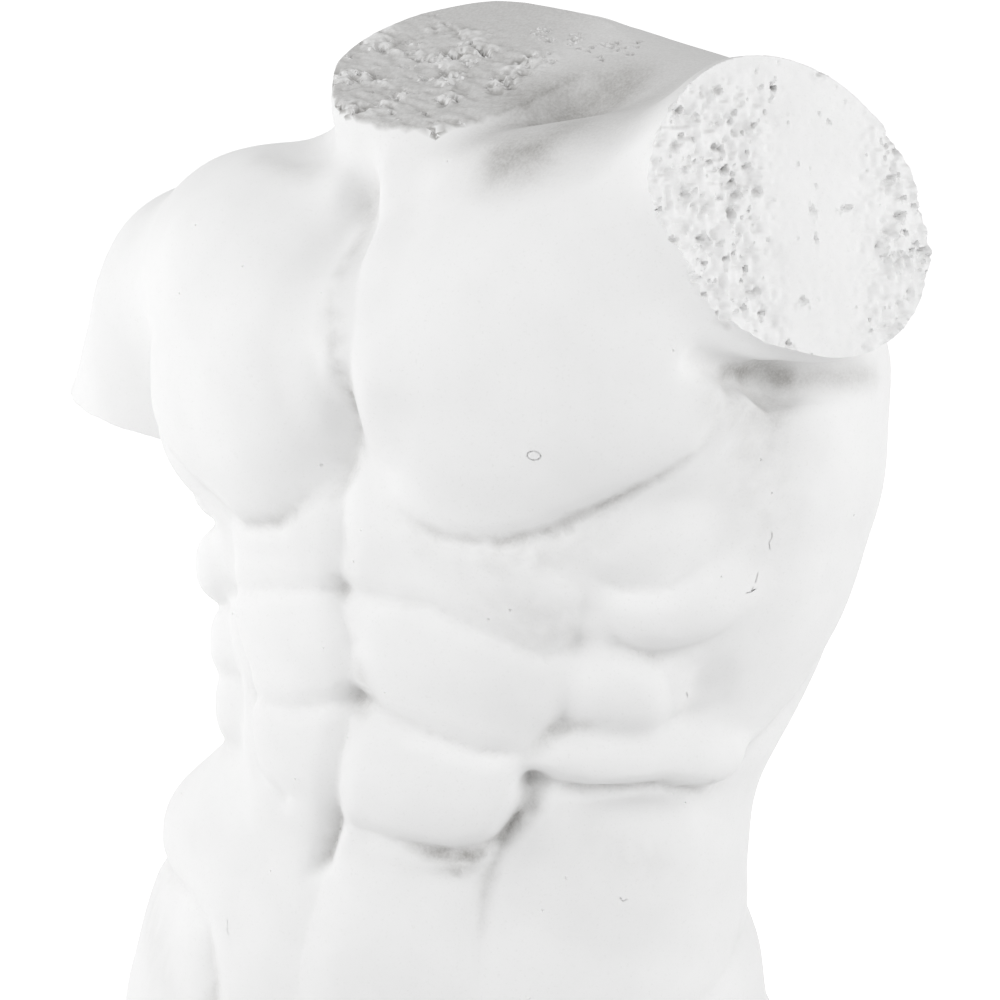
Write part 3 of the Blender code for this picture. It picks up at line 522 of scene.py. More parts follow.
class Break:
    """A rough break: a fine sheet of heights over a flat, in units, that cuts the figure."""

    def __init__(self, flat, across, half_width, half_length, step):
        self.point, facing = flat
        self.facing = facing.normalized()
        across = Vector(across)
        self.across = (across - self.facing * across.dot(self.facing)).normalized()
        self.along = self.facing.cross(self.across)
        self.lines = (
            np.arange(-half_width, half_width + step, step),
            np.arange(-half_length, half_length + step, step),
        )
        self.step = step
        self.u = self.lines[0][:, None] + 0 * self.lines[1]
        self.v = self.lines[1] + 0 * self.u
        self.heights = np.zeros(self.u.shape)
        self.tone = np.zeros(self.u.shape)

    def carve(self, layers, raised, dark):
        """Adds layers of noise, with what stands proud pressed down to a share of its height.
        The tone is dark in the grooves, as painted shade, and below 0 on the ridges, which keep less of the
        dust and painted top shade."""
        before = self.heights.copy()
        for layer in layers:
            self.rough(*layer)
        change = self.heights - before
        self.heights = before + np.where(change > 0, raised * change, change)
        change = np.clip(change / 0.2, -1, 1)
        self.tone = np.where(change > 0, -change, -dark * change)

    def rough(self, scale, amount, share, seed, stretch=1.0):
        """Adds noise of one scale, drawn out along the sheet's first axis."""
        lines = (self.lines[0] / stretch, self.lines[1])
        self.heights += amount * share * noise_grid(lines, scale, seed)

    def pit(self, u, v, radius, depth, stretch=1.0, turn=0.0, lip=0.25, seed=0):
        """A ragged hole, steep at its upper side, with a raised lip below."""
        reach = radius * stretch * 2.2 + self.step
        first = [np.searchsorted(line, spot - reach) for line, spot in zip(self.lines, (u, v))]
        last = [np.searchsorted(line, spot + reach) for line, spot in zip(self.lines, (u, v))]
        cut = (slice(first[0], last[0]), slice(first[1], last[1]))
        if first[0] == last[0] or first[1] == last[1]:
            return
        lines = (self.lines[0][cut[0]], self.lines[1][cut[1]])
        lean = math.radians(turn)
        x, y = self.u[cut] - u, self.v[cut] - v
        wide = (x * math.cos(lean) + y * math.sin(lean)) / stretch
        tall = y * math.cos(lean) - x * math.sin(lean)
        ragged = 1 + 0.6 * noise_grid(lines, radius * 0.8, seed)
        gap = np.sqrt(wide**2 + tall**2) / (radius * ragged)
        hole = np.clip((1 - gap) * 2.4, 0, 1) * np.clip(0.5 + 0.65 * y / radius, 0.1, 1)
        rim = np.exp(-(((gap - 1.15) / 0.3) ** 2)) * (tall < 0.3 * radius)
        self.heights[cut] += depth * (lip * rim - hole)
        # Painted shade in the hole, darker the deeper it is.
        dark = hole**1.5 * min(1, (depth / 0.45) ** 2)
        self.tone[cut] = np.where(dark > 0, np.maximum(self.tone[cut], dark), self.tone[cut])

    def scatter(self, count, likely, radii, depth, seed, stretch=1.6, turn=0.0):
        """Random pits, more of them where they are likely."""
        random = np.random.default_rng(seed)
        weights = likely.ravel() / likely.sum()
        for number, spot in enumerate(random.choice(len(weights), count, p=weights)):
            i, j = divmod(int(spot), likely.shape[1])
            size, long, spin = random.random(3)
            radius = radii[0] + (radii[1] - radii[0]) * size**2
            self.pit(
                self.lines[0][i], self.lines[1][j], radius, depth * (0.5 + radius / radii[1]),
                1 + (stretch - 1) * long, turn + 70 * (spin - 0.5), seed=seed + number,
            )

    def cutter(self, name, height, place):
        """The block that lies on the sheet, as an object."""
        rows, columns = self.u.shape
        across, along = np.array(self.across), np.array(self.along)
        facing = np.array(self.facing)
        flat = np.array(self.point) + self.u[..., None] * across + self.v[..., None] * along
        sheet = (flat + self.heights[..., None] * facing).reshape(-1, 3)
        index = np.arange(rows * columns).reshape(rows, columns)
        rim = np.concatenate((index[:-1, 0], index[-1, :-1], index[:0:-1, -1], index[0, :0:-1]))
        top = flat.reshape(-1, 3)[rim] + height * facing
        corners = (index[:-1, :-1], index[:-1, 1:], index[1:, 1:], index[1:, :-1])
        faces = np.stack(corners, axis=-1).reshape(-1, 4).tolist()
        count = len(rim)
        roof = rows * columns + np.arange(count)
        for i in range(count):
            after = (i + 1) % count
            faces.append([int(rim[i]), int(rim[after]), int(roof[after]), int(roof[i])])
        faces.append(roof.tolist())
        return add_mesh(name, np.concatenate((sheet, top)) * UNIT, faces, place)

    def tone_at(self, points):
        """How dark and deep the break is at some points, as painted shade in its grooves and pits, and 0 away
        from its sheet.
        """
        offset = points - np.array(self.point)
        u, v = offset @ np.array(self.across), offset @ np.array(self.along)
        height = offset @ np.array(self.facing)
        i = np.clip(np.searchsorted(self.lines[0], u), 0, len(self.lines[0]) - 1)
        j = np.clip(np.searchsorted(self.lines[1], v), 0, len(self.lines[1]) - 1)
        on_sheet = np.abs(height - self.heights[i, j]) < 0.12
        on_sheet &= (np.abs(u) < self.lines[0][-1]) & (np.abs(v) < self.lines[1][-1])
        return np.where(on_sheet, self.tone[i, j], 0), on_sheet


def add_mesh(name, points, faces, place=(0, 0, 0)):
    mesh = bpy.data.meshes.new(name)
    mesh.from_pydata(np.asarray(points).tolist(), [], faces)
    item = bpy.data.objects.new(name, mesh)
    item.location = place
    bpy.context.scene.collection.objects.link(item)
    return item


def subtract(item, cutters):
    """Cuts the item with these closed meshes, and removes them."""
    for cutter in cutters:
        boolean = item.modifiers.new(cutter.name, "BOOLEAN")
        boolean.operation = "DIFFERENCE"
        boolean.solver = "MANIFOLD"
        boolean.object = cutter
    settle(item)
    for cutter in cutters:
        bpy.data.objects.remove(cutter)


def settle(item):
    """Makes the modified mesh the item's own."""
    bpy.context.view_layer.update()
    graph = bpy.context.evaluated_depsgraph_get()
    item.data = bpy.data.meshes.new_from_object(item.evaluated_get(graph))
    item.modifiers.clear()


def thin(item, triangles):
    decimate = item.modifiers.new("Thin", "DECIMATE")
    decimate.ratio = triangles / (len(item.data.polygons) * 2)


def coordinates(item):
    """The item's points in the figure's units."""
    points = np.empty(len(item.data.vertices) * 3, np.float32)
    item.data.vertices.foreach_get("co", points)
    return points.reshape(-1, 3) / UNIT


def blurred(field, reach):
    """The field averaged over a box that goes this many cells to each side."""
    for axis in range(3):
        margins = [(0, 0)] * 3
        margins[axis] = (reach + 1, reach)
        total = np.cumsum(np.pad(field, margins, mode="edge"), axis=axis, dtype=np.float32)
        count = total.shape[axis]
        last = np.take(total, np.arange(2 * reach + 1, count), axis)
        first = np.take(total, np.arange(count - 2 * reach - 1), axis)
        field = (last - first) / (2 * reach + 1)
    return field


def between_cells(values, whole, part):
    """Values of a block between its cells. Past its end the block starts again."""
    total = np.zeros(len(whole))
    for corner in np.ndindex(2, 2, 2):
        weight = np.prod(np.where(corner, part, 1 - part), axis=1)
        spot = (whole + corner) % values.shape
        total += weight * values[spot[:, 0], spot[:, 1], spot[:, 2]]
    return total


def hollowness(clay, points, reach):
    """How deep the points lie in a hollow of some size, in units."""
    band = np.clip(clay.field, -SKIN_BAND, SKIN_BAND)
    spots = (points - clay.low) / clay.cell
    whole = np.clip(spots.astype(int), 0, np.array(band.shape) - 2)
    return between_cells(band - blurred(band, reach), whole, np.clip(spots - whole, 0, 1))


def map_places(points):
    """Angle and height of points on the trunk."""
    x, y = shares_of_trunk(points[:, 0], points[:, 1], smooth_profile(points[:, 2]))
    return np.degrees(np.arctan2(x, -y)), points[:, 2]


def line_tone(angle, height, line, width):
    """Nearness to a line of (angle, height, strength) spots on the trunk, between 0 and 1."""
    tone = np.zeros(len(angle))
    for start, end in zip(line[:-1], line[1:]):
        part, gap = nearest_on_line(angle, height, start, end)
        strength = start[2] + (end[2] - start[2]) * part
        tone = np.maximum(tone, strength * np.exp(-((gap / width) ** 2)))
    return tone


def point_noise(points, scale, seed):
    """Smooth noise between -1 and 1 at some points."""
    table = np.random.default_rng(seed).uniform(-1, 1, [NOISE_CELLS] * 3)
    spots = points / scale + NOISE_CELLS // 2
    whole = np.floor(spots).astype(int)
    part = spots - whole
    return between_cells(table, whole, part * part * (3 - 2 * part))


def give_values(item, dirt_and_shade_values, pit_shade, broken):
    """Stores what the stone's material reads at each point."""
    for name, values in (("dirt_and_shade", dirt_and_shade_values), ("pit", pit_shade), ("broken", broken)):
        attribute = item.data.attributes.new(name, "FLOAT", "POINT")
        attribute.data.foreach_set("value", np.asarray(values, np.float32))


# Lines of dirt and painted shade in the furrows: angle, height and strength of each spot, then the width.
DIRT_AND_SHADE_LINES = (
    (((-6, 61.0, 0.4), (-4, 58.5, 0.2), (-1, 55.5, 0.4), (0, 52.5, 0.6), (-2, 50.2, 0.4),
      (-5, 49.2, 0.2)), 0.35),
    (((-3, 45.6, 0.2), (-3, 44.8, 0.35), (-2, 44.0, 0.1)), 0.4),
    (((3, 41.6, 0.2), (4, 40.2, 0.8), (3, 39.0, 0.2)), 0.45),
    (((2, 34.9, 0.1), (1, 33.9, 0.2), (0, 32.6, 0.5), (-2, 31.8, 0.1)), 0.35),
    (((16, 33.9, 0.1), (23, 33.4, 0.9), (30, 33.5, 1.0), (35, 34.3, 0.7), (38, 36.0, 0.6),
      (37, 37.2, 0.4)), 0.4),
    (((22, 32.8, 0.1), (27, 32.7, 0.7), (32, 33.0, 0.2)), 0.3),
    (((37, 37.2, 0.2), (36, 35.0, 0.5), (34, 33.0, 0.4), (33, 29.5, 0.1)), 0.35),
    (((34, 38.5, 0.2), (37, 39.8, 0.7), (44, 40.2, 0.1)), 0.35),
    (((8, 48.8, 0.1), (14, 48.1, 0.3), (22, 48.1, 0.4), (30, 48.9, 0.45), (39, 50.9, 0.55),
      (46, 52.4, 0.2)), 0.26),
    (((-27, 26.6, 0.1), (-24, 24.6, 0.3), (-21, 21.8, 0.5), (-18, 19.0, 0.4)), 0.4),
    (((47, 36.9, 0.1), (60, 37.2, 0.5), (72, 36.5, 0.4), (76, 36.2, 0.1)), 0.25),
    (((-25, 46.9, 0.2), (-14, 47.7, 0.4), (-8, 49.0, 0.2)), 0.3),
    (((12, 47.6, 0.1), (24, 47.4, 0.2), (36, 48.8, 0.15)), 0.9),
    (((20, 45.8, 0.1), (28, 44.8, 0.25), (35, 44.0, 0.15)), 1.1),
    (((60, 54.0, 0.2), (65, 50.0, 0.15), (70, 46.0, 0.05)), 1.8),
    (((52, 34.4, 0.05), (62, 33.4, 0.18), (70, 32.8, 0.05)), 0.9),
    (((-62, 26.6, 0.05), (-42, 24.8, 0.16), (-30, 22.0, 0.1)), 0.9),
)
# Smears of dirt and painted shade, the darkest in the armpit: both ends in units, reach and strength.
DIRT_AND_SHADE_SMEARS = (
    ((-1.7, -7.6, 62.0), (-1.6, -7.6, 61.0), 0.7, 0.45),
    ((6.6, -8.6, 64.5), (7.4, -8.4, 64.6), 1.4, 0.85),
    ((8.0, -7.2, 65.4), (8.4, -6.4, 66.0), 1.2, 0.35),
    ((4.6, -3.6, 66.0), (7.2, -1.6, 66.6), 1.8, 0.75),
    ((6.4, -1.4, 66.8), (9.0, -1.8, 66.8), 1.4, 0.15),
    ((9.0, -4.2, 66.2), (10.4, -3.0, 66.8), 1.4, 0.2),
    ((15.5, -5.2, 56.0), (16.9, -2.3, 55.2), 0.6, 1.0),
    ((16.9, -2.3, 55.2), (19.8, 1.6, 55.0), 0.6, 0.45),
    ((16.0, -6.4, 55.0), (17.0, -3.4, 53.8), 1.2, 0.35),
    ((16.9, -4.6, 52.6), (17.6, -2.4, 52.2), 1.2, 0.14),
    ((-8.4, -6.6, 62.8), (-5.4, -7.2, 62.6), 0.8, 0.25),
)


def left_arm_break():
    """A flat break, pitted in front and along its back edge, smoother down the middle."""
    face = Break(LEFT_ARM_CUT, (0.5, 0.866, 0), 8.0, 8.0, 0.075)
    front = np.clip((-0.6 - face.u) / 1.6, 0, 1) * np.clip((5.6 - face.v) / 2, 0, 1)
    back = np.clip((face.u - 2.6 - 0.12 * face.v) / 1.6, 0, 1)
    worn = np.maximum(front, back)
    face.rough(3.0, 0.10, 1.0, 11)
    face.rough(0.9, 0.16, 0.2 + worn, 12)
    layers = ((0.5, 0.14, 0.08 + worn, 13), (0.24, 0.15, 0.15 + worn, 14))
    face.carve(layers, raised=0.7, dark=0.15)
    face.scatter(230, worn**2, (0.06, 0.2), 0.24, 21, turn=50)
    face.scatter(220, worn, (0.04, 0.09), 0.16, 23, turn=50)
    face.scatter(40, 1 - worn, (0.05, 0.13), 0.10, 22, turn=80)
    for u, v, radius, depth, stretch, turn in (
        (-0.9, 4.3, 0.13, 0.45, 3.0, 78), (1.4, 4.8, 0.26, 0.22, 1.2, 0),
        (-3.5, 4.3, 0.22, 0.25, 1.6, 50), (-4.7, 3.2, 0.30, 0.22, 1.5, 30),
        (-3.2, -0.9, 0.22, 0.32, 2.2, 75), (-4.6, -1.9, 0.36, 0.26, 1.4, 70),
        (-1.9, 0.0, 0.24, 0.26, 1.6, 30), (0.6, -1.0, 0.22, 0.22, 1.9, 90),
        (0.7, -2.3, 0.12, 0.12, 5.0, 92), (2.2, -0.9, 0.14, 0.30, 2.4, 10),
        (-0.1, -4.7, 0.28, 0.28, 1.3, 0), (-2.5, -4.2, 0.20, 0.26, 2.6, 20),
        (-0.8, -6.5, 0.2, 0.3, 1.6, -30), (4.8, 1.4, 0.15, 0.3, 1.5, 40),
        (4.3, -2.2, 0.36, 0.24, 1.3, 0), (4.7, -3.3, 0.3, 0.26, 1.6, 60),
        (-5.7, 2.1, 0.3, 0.22, 1.4, 40), (-5.4, 1.0, 0.28, 0.24, 1.4, 60),
    ):
        face.pit(u, v, 0.8 * radius, depth, stretch, turn, seed=int(50 + 10 * abs(u)))
    return face


def neck_break():
    """A break dragged smooth at the back and left in streaks in front. It runs out into the
    left shoulder."""
    face = Break(NECK_CUT, (1, -0.09, 0), 13.0, 11.0, 0.09)
    front = np.clip((4.2 - face.v) / 2.5, 0, 1) * np.clip((5.6 - face.u) / 2, 0, 1)
    band = np.exp(-(((face.v - 4.3) / 0.7) ** 2)) * np.clip((face.u - 1.5) / 1, 0, 1)
    band *= np.clip((8.5 - face.u) / 1, 0, 1)
    patchy = front * np.clip(0.55 + 1.3 * noise_grid(face.lines, 1.3, 30), 0.15, 1)
    face.rough(3.5, 0.10, np.clip((8 - face.u) / 3, 0, 1), 31)
    layers = ((0.3, 0.34, patchy, 32, 2.4), (0.17, 0.32, patchy, 33, 1.6))
    face.carve(layers, raised=0.5, dark=0.8)
    face.rough(0.5, 0.03, 1.0, 34, stretch=3.0)
    face.scatter(300, patchy, (0.06, 0.2), 0.2, 41, stretch=2.6, turn=-4)
    face.scatter(30, band, (0.09, 0.2), 0.24, 42, stretch=1.8, turn=20)
    for u, v, radius, depth, stretch, turn in (
        (-3.0, 1.5, 0.30, 0.42, 2.0, 10), (-3.9, 0.5, 0.26, 0.3, 1.8, 20),
        (-1.6, -0.4, 0.24, 0.3, 1.8, 0), (-2.4, 3.6, 0.2, 0.25, 1.6, 10),
        (-3.7, 4.1, 0.2, 0.25, 1.4, 0), (2.4, 4.7, 0.22, 0.42, 1.5, 20),
        (3.5, 3.9, 0.2, 0.3, 1.3, 0), (4.4, 4.4, 0.2, 0.3, 1.4, 30),
    ):
        face.pit(u, v, radius, depth, stretch, turn, seed=int(90 + 10 * abs(u)))
    spot_x = face.point.x + face.u * face.across.x + face.v * face.along.x
    spot_y = face.point.y + face.u * face.across.y + face.v * face.along.y
    face.heights += 0.06 * np.maximum(spot_x - 5.6 - 0.36 * spot_y, 0) ** 2
    return face


def right_arm_break():
    """The underside of the right stump, evenly rough."""
    face = Break(RIGHT_ARM_CUT, (1, 0, 0), 6.2, 7.5, 0.15)
    everywhere = np.ones(face.u.shape)
    face.rough(2.5, 0.10, everywhere, 51)
    face.rough(0.6, 0.07, everywhere, 52)
    face.rough(0.3, 0.03, everywhere, 53)
    face.scatter(70, 0.7 * everywhere, (0.12, 0.34), 0.16, 54)
    return face


def skin_spot(tree, angle, height):
    """The point of the skin straight in from a spot on the trunk's map, in units."""
    point, outward = trunk_spot(angle, height)
    hit, normal, index, gap = tree.ray_cast(Vector(point + 8 * outward), Vector(-outward))
    return hit


def pinholes(tree, place):
    """Small bubbles in the skin, as one cutter."""
    random = np.random.default_rng(5)
    spots = [
        (-8, 50.4, 0.09), (26, 45.2, 0.09), (23, 44.7, 0.07), (-38, 60.2, 0.06), (62, 52.0, 0.07),
        (12, 64.0, 0.06), (58, 47.0, 0.06), (45, 31.0, 0.07), (-12, 31.0, 0.05), (88, 49.0, 0.08),
    ]
    for i in range(70):
        spots.append(
            (random.uniform(-180, 180), random.uniform(16, 60), random.uniform(0.03, 0.07))
        )
    points, faces = [], []
    rings, sides = 4, 8
    for angle, height, radius in spots:
        hit = skin_spot(tree, angle, height)
        if hit is None:
            continue
        start = len(points)
        for ring in range(rings):
            polar = math.pi * (ring + 1) / (rings + 1)
            flat = math.sin(polar)
            for step in range(sides):
                turn = 2 * math.pi * step / sides
                way = Vector((flat * math.cos(turn), flat * math.sin(turn), math.cos(polar)))
                points.append(hit + radius * way)
        for ring in range(rings - 1):
            low, high = start + sides * ring, start + sides * (ring + 1)
            for step in range(sides):
                after = (step + 1) % sides
                faces.append([low + step, high + step, high + after, low + after])
        faces.append([start + step for step in range(sides)])
        faces.append([start + sides * rings - 1 - step for step in range(sides)])
    return add_mesh("pinholes", np.array(points) * UNIT, faces, place)


# Fine marks in the skin: angle and height of each spot along them.
MARKS = (
    ((66.2, 48.9), (66.8, 48.6), (66.4, 48.3), (67.0, 48.0)),
    ((63.4, 46.2), (64.4, 46.2), (65.2, 46.6), (65.4, 47.0)),
    ((59.4, 41.4), (60.2, 41.2), (60.4, 40.9)),
    ((72.0, 37.2), (72.4, 36.9), (73.2, 36.8)),
    ((60.2, 31.6), (61.0, 31.4), (61.8, 31.5)),
    ((-21.0, 27.9), (-20.6, 27.4), (-19.8, 27.2)),
)
# The ring mark: angle, height and radius, and the steps round it.
RING_MARK = (27.9, 52.4, 0.2)
RING_STEPS = 14
# Radius of each mark's groove, in units, and a direction that no mark runs along.
MARK_RADIUS = 0.035
OFF_MARKS = Vector((0.3, -0.9, 0.2))


def marks(tree, place):
    """Thin grooves in the skin, as one cutter of closed tubes."""
    runs = [([skin_spot(tree, *spot) for spot in mark], False) for mark in MARKS]
    angle, height, radius = RING_MARK
    circle = []
    for step in range(RING_STEPS):
        turn = 2 * math.pi * step / RING_STEPS
        across, up = radius / ARC * math.cos(turn), radius * math.sin(turn)
        circle.append(skin_spot(tree, angle + across, height + up))
    runs.append((circle, True))
    points, faces = [], []
    sides = 6
    for run, closed in runs:
        first = len(points)
        count = len(run)
        for i, spot in enumerate(run):
            before = run[i - 1] if i or closed else spot
            after = run[(i + 1) % count] if i < count - 1 or closed else spot
            along = (after - before).normalized()
            side = along.cross(OFF_MARKS).normalized()
            out = side.cross(along)
            for step in range(sides):
                turn = 2 * math.pi * step / sides
                points.append(spot + MARK_RADIUS * (math.cos(turn) * side + math.sin(turn) * out))
        for i in range(count if closed else count - 1):
            low, high = first + sides * i, first + sides * ((i + 1) % count)
            for step in range(sides):
                after = (step + 1) % sides
                faces.append([low + step, low + after, high + after, high + step])
        if not closed:
            faces.append([first + step for step in range(sides - 1, -1, -1)])
            faces.append([first + sides * (count - 1) + step for step in range(sides)])
    return add_mesh("marks", np.array(points) * UNIT, faces, place)


def dirt_and_shade(clay, torso, faces):
    """How much dirt and painted shade each point holds, how dark its painted shade is in a pit, and whether
    it is on a break.
    """
    points = coordinates(torso)
    normals = np.empty(len(points) * 3, np.float32)
    torso.data.vertex_normals.foreach_get("vector", normals)
    upward = normals.reshape(-1, 3)[:, 2]
    angle, height = map_places(points)
    narrow = hollowness(clay, points, 2)
    wide = hollowness(clay, points, 6)
    # Painted shade in the hollows, darker the deeper the hollow.
    tone = 0.8 * np.clip(narrow - 0.02, 0, 0.2) + 0.2 * np.clip(wide - 0.06, 0, 0.5)
    mottle = 0.65 + 0.5 * point_noise(points, 0.5, 61) + 0.25 * point_noise(points, 0.2, 62)
    lines = np.zeros(len(points))
    for line, width in DIRT_AND_SHADE_LINES:
        lines = np.maximum(lines, line_tone(angle, height, line, width))
    # Dirt and painted shade along the furrow lines.
    tone += 0.75 * lines * np.clip(mottle, 0, 1.2)
    smears = np.zeros(len(points))
    # Smears of dirt and painted shade, the armpit's the darkest.
    for start, end, reach, strength in DIRT_AND_SHADE_SMEARS:
        start, end = np.array(start), np.array(end)
        share = np.clip((points - start) @ (end - start) / np.dot(end - start, end - start), 0, 1)
        gap = np.linalg.norm(points - start - share[:, None] * (end - start), axis=1) / reach
        smears = np.maximum(smears, strength * np.exp(-(gap**2)))
    pit_shade, broken = np.zeros(len(points)), np.zeros(len(points))
    for face in faces:
        pit, on_face = face.tone_at(points)
        pit_shade = np.maximum(pit_shade, pit)
        broken = np.maximum(broken, on_face)
    tone = np.clip(tone, 0, 1) * (1 - broken)
    neck_tone, on_neck = faces[0].tone_at(points)
    # Ridges of the neck break keep less of the dust and painted top shade.
    on_neck = on_neck * (1 - 0.6 * np.clip(-neck_tone, 0, 1))
    # Dust and painted top shade on what faces up beside the neck.
    beside = np.clip((upward - 0.5) / 0.4, 0, 1) * np.clip((points[:, 0] - 1) / 3, 0, 1)
    beside *= np.clip((points[:, 2] - 62) / 3, 0, 1)
    dust_and_top_shade = DUST_AND_TOP_SHADE * np.maximum(0.7 * beside, on_neck * (1 - 0.35 * beside))
    smears *= 0.4 + 0.34 * np.clip(mottle, 0, 1.2)
    return np.clip(tone + smears + dust_and_top_shade, 0, 1), pit_shade, broken


def build_torso(place):
    clay = Clay(*BLOCK, CELL)
    clay.unroll()
    clay.trunk(4.0)
    model_hips_and_thighs(clay)
    model_neck_and_shoulders(clay)
    model_chest(clay)
    model_abdomen(clay)
    model_flanks(clay)
    model_back(clay)
    lines = [line.astype(np.float64) for line in clay.lines]
    clay.field += 0.035 * noise_grid(lines, 2.6, 71) + 0.012 * noise_grid(lines, 0.9, 72)
    points, quads = clay.surface()
    torso = add_mesh("torso_stone", points, quads.tolist(), place)
    thin(torso, TORSO_TRIANGLES)
    settle(torso)
    faces = [neck_break(), left_arm_break(), right_arm_break()]
    floor = Break(THIGH_CUT, (1, 0, 0), 25, 20, 5)
    cutters = [
        faces[0].cutter("neck_cutter", 12, place),
        faces[1].cutter("left_arm_cutter", 24, place),
        faces[2].cutter("right_arm_cutter", 9, place),
        floor.cutter("thigh_cutter", 10, place),
    ]
    subtract(torso, cutters)
    triangles = [tuple(face.vertices) for face in torso.data.polygons]
    tree = BVHTree.FromPolygons([Vector(point) for point in coordinates(torso)], triangles)
    subtract(torso, [pinholes(tree, place), marks(tree, place)])
    give_values(torso, *dirt_and_shade(clay, torso, faces))
    return torso


def build_plinth(low, high):
    """A block with worn edges and corners."""
    size = (np.array(high) - np.array(low)) / UNIT
    clay = Clay(-size / 2 - 1, size / 2 + 1, CELL)
    lines = [line.astype(np.float64) for line in clay.lines]
    x, y, z = np.meshgrid(*clay.lines, indexing="ij", sparse=True)
    beyond = [np.abs(line) - half + PLINTH_EDGE for line, half in zip((x, y, z), size / 2)]
    outside = np.sqrt(sum(np.maximum(side, 0) ** 2 for side in beyond))
    inside = np.minimum(np.maximum(np.maximum(beyond[0], beyond[1]), beyond[2]), 0)
    clay.field = outside + inside - PLINTH_EDGE
    clay.field += 0.03 * np.abs(noise_grid(lines, 3.0, 81)) + 0.02 * np.abs(noise_grid(lines, 0.8, 82))
    points, quads = clay.surface()
    block = add_mesh("plinth_stone", points, quads.tolist())
    block.data.transform(Matrix.Translation((Vector(low) + Vector(high)) / 2))
    thin(block, PLINTH_TRIANGLES)
    settle(block)
    points = coordinates(block) - (np.array(low) + np.array(high)) / 2 / UNIT
    tone = 0.06 * np.clip(point_noise(points, 2.0, 83), 0, 1)
    give_values(block, tone, 0 * tone, 0 * tone)
    return block


def new_material(name):
    """A material, its nodes, its links and its surface shader."""
    material = bpy.data.materials.new(name)
    material.use_nodes = True
    nodes = material.node_tree.nodes
    return material, nodes, material.node_tree.links, nodes["Principled BSDF"]


def map_range(nodes, links, source, limits):
    """A node that carries a value from one range, low and high, to another."""
    node = nodes.new("ShaderNodeMapRange")
    for i, number in enumerate(limits):
        node.inputs[i + 1].default_value = number
    links.new(source, node.inputs[0])
    return node


def stone(name):
    """Matte white cast stone, with dirt and painted shade in the furrows and painted shade in the pits,
    greyer on the breaks.
    """
    material, nodes, links, surface = new_material(name)
    surface.inputs["Specular IOR Level"].default_value = 0.3
    place = nodes.new("ShaderNodeTexCoord").outputs["Object"]

    def noise(scale, detail=4.0, roughness=0.55):
        node = nodes.new("ShaderNodeTexNoise")
        node.inputs["Scale"].default_value = scale
        node.inputs["Detail"].default_value = detail
        node.inputs["Roughness"].default_value = roughness
        links.new(place, node.inputs["Vector"])
        return node.outputs["Fac"]

    def value(name):
        node = nodes.new("ShaderNodeAttribute")
        node.attribute_name = name
        return node.outputs["Fac"]

    def ranged(source, *limits):
        return map_range(nodes, links, source, limits).outputs[0]

    def maths(operation, first, second):
        node = nodes.new("ShaderNodeMath")
        node.operation = operation
        for i, source in enumerate((first, second)):
            if isinstance(source, (int, float)):
                node.inputs[i].default_value = source
            else:
                links.new(source, node.inputs[i])
        return node.outputs[0]

    def mixed(share, first, second):
        node = nodes.new("ShaderNodeMix")
        node.data_type = "RGBA"
        links.new(share, node.inputs["Factor"])
        for socket, colour in (("A", first), ("B", second)):
            target = [s for s in node.inputs if s.name == socket and s.type == "RGBA"][0]
            if isinstance(colour, tuple):
                target.default_value = (*colour, 1)
            else:
                links.new(colour, target)
        return [s for s in node.outputs if s.type == "RGBA"][0]

    cloud = mixed(ranged(noise(14), 0.35, 0.65, 0, 1), (0.883, 0.883, 0.882), (0.925, 0.925, 0.924))
    specks = ranged(noise(900, 2.0), 0.60, 0.72, 0, 0.35)
    body = mixed(specks, cloud, (0.80, 0.798, 0.79))
    grain = ranged(noise(700, 5.0, 0.7), 0.3, 0.7, 0.75, 1.2)
    # Dirt and painted shade in the furrows and on the neck.
    soiled_and_shaded = mixed(maths("MULTIPLY", value("dirt_and_shade"), grain), body, (0.30, 0.29, 0.275))
    # Painted shade in the pits and grooves of the breaks.
    colour = mixed(maths("MULTIPLY", value("pit"), 0.7), soiled_and_shaded, (0.22, 0.21, 0.195))
    links.new(colour, surface.inputs["Base Color"])
    links.new(ranged(noise(60), 0.3, 0.7, 0.72, 0.9), surface.inputs["Roughness"])

    relief = maths("ADD", noise(160, 3.0), maths("MULTIPLY", noise(1100, 3.0, 0.7), 0.25))
    bump = nodes.new("ShaderNodeBump")
    bump.inputs["Distance"].default_value = 0.0006
    links.new(ranged(value("broken"), 0, 1, 0.12, 0.5), bump.inputs["Strength"])
    links.new(relief, bump.inputs["Height"])
    links.new(bump.outputs["Normal"], surface.inputs["Normal"])
    return material


def finish_piece(piece, node):
    piece.data.materials.clear()
    piece.data.materials.append(stone(node + "_cast_stone"))
    piece.data.shade_smooth()
    piece.data.set_sharp_from_angle(angle=math.radians(SHARP_ANGLE))
    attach(piece, "root")
    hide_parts(node)


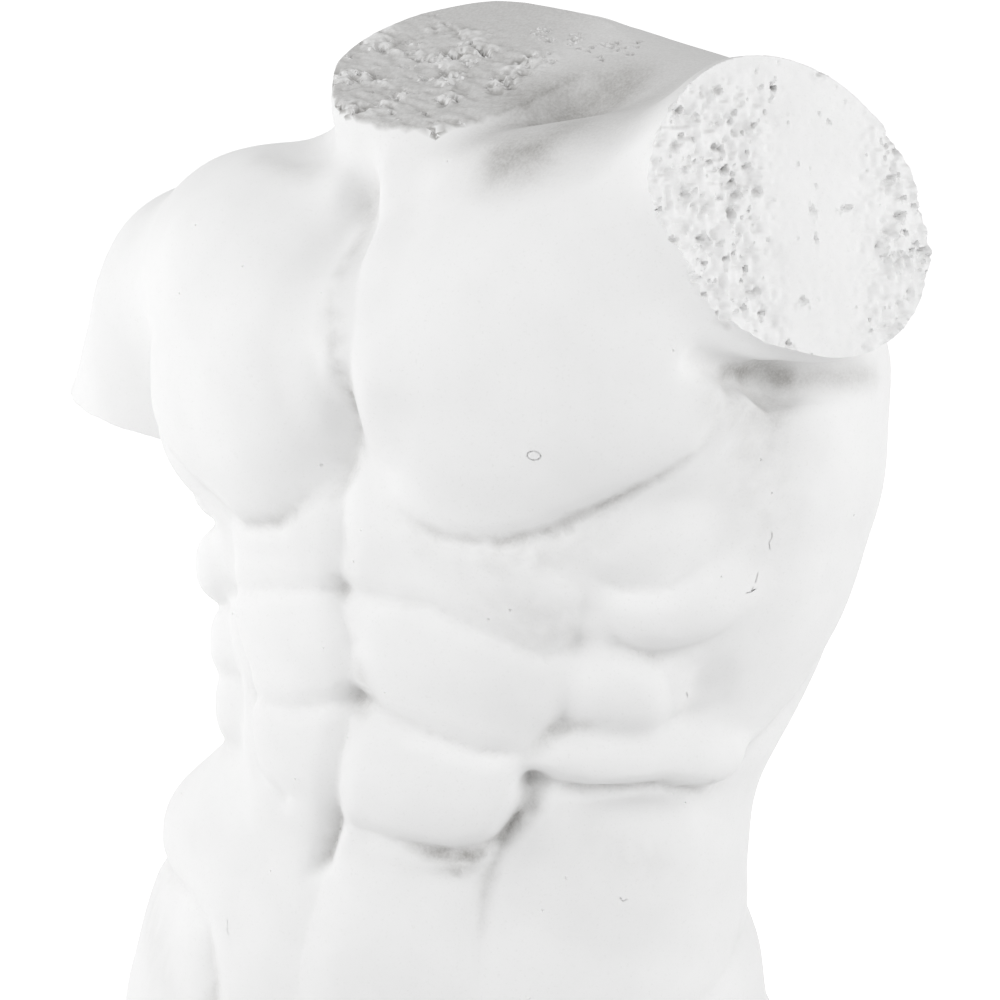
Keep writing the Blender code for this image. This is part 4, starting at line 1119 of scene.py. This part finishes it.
def pale_sweep():
    """The studio floor: pale under the figure and in front of it, white behind it."""
    material, nodes, links, surface = new_material("pale_sweep")
    surface.inputs["Base Color"].default_value = (0.72, 0.72, 0.72, 1)
    surface.inputs["Roughness"].default_value = 0.9
    surface.inputs["Specular IOR Level"].default_value = 0.0
    surface.inputs["Emission Color"].default_value = (1, 1, 1, 1)
    far = nodes.new("ShaderNodeVectorMath")
    far.operation = "DOT_PRODUCT"
    far.inputs[1].default_value = (-0.6, 0.8, 0)
    links.new(nodes.new("ShaderNodeTexCoord").outputs["Object"], far.inputs[0])
    ramp = map_range(nodes, links, far.outputs["Value"], (-0.1, 0.6, 0.02, 0.7))
    ramp.interpolation_type = "SMOOTHSTEP"
    links.new(ramp.outputs[0], surface.inputs["Emission Strength"])
    return material


def facing_target(name, data, target, azimuth, elevation, distance):
    """A light or camera at some distance from the target, facing it."""
    turn, lift = math.radians(azimuth), math.radians(elevation)
    back = Vector((math.sin(turn) * math.cos(lift), -math.cos(turn) * math.cos(lift), math.sin(lift)))
    item = bpy.data.objects.new(name, data)
    item.location = target + back * distance
    item.rotation_mode = "QUATERNION"
    item.rotation_quaternion = (-back).to_track_quat("-Z", "Y")
    bpy.context.scene.collection.objects.link(item)
    return item


def build_stage(place):
    target = TARGET * UNIT + place
    half = FLOOR_HALF
    corners = [(-half, -half, 0), (half, -half, 0), (half, half, 0), (-half, half, 0)]
    floor = add_mesh("floor", corners, [[0, 1, 2, 3]])
    floor.data.materials.append(pale_sweep())
    world = bpy.data.worlds.new("studio")
    world.use_nodes = True
    sky = world.node_tree.nodes["Background"]
    sky.inputs["Color"].default_value = (1, 1, 1, 1)
    sky.inputs["Strength"].default_value = 0.56
    bpy.context.scene.world = world
    for name, azimuth, elevation, distance, size, strength in LIGHTS:
        light = bpy.data.lights.new(name, "AREA")
        light.size = size
        light.energy = strength
        facing_target(name, light, target, azimuth, elevation, distance)
    bpy.context.scene.view_settings.view_transform = "Standard"
    lens = bpy.data.cameras.new("camera")
    lens.sensor_width = CAMERA_SENSOR
    lens.lens = CAMERA_LENS
    view = (CAMERA_AZIMUTH, CAMERA_ELEVATION, CAMERA_DISTANCE)
    bpy.context.scene.camera = facing_target("camera", lens, target, *view)


def main():
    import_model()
    low, high = footprint()
    middle = (low + high) * UNIT / 2
    torso_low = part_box("torso")[0]
    place = Vector((-middle.x, -middle.y, torso_low.z))
    finish_piece(build_torso(place), "torso")
    finish_piece(build_plinth(*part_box("plinth")), "plinth")
    build_stage(place)


main()
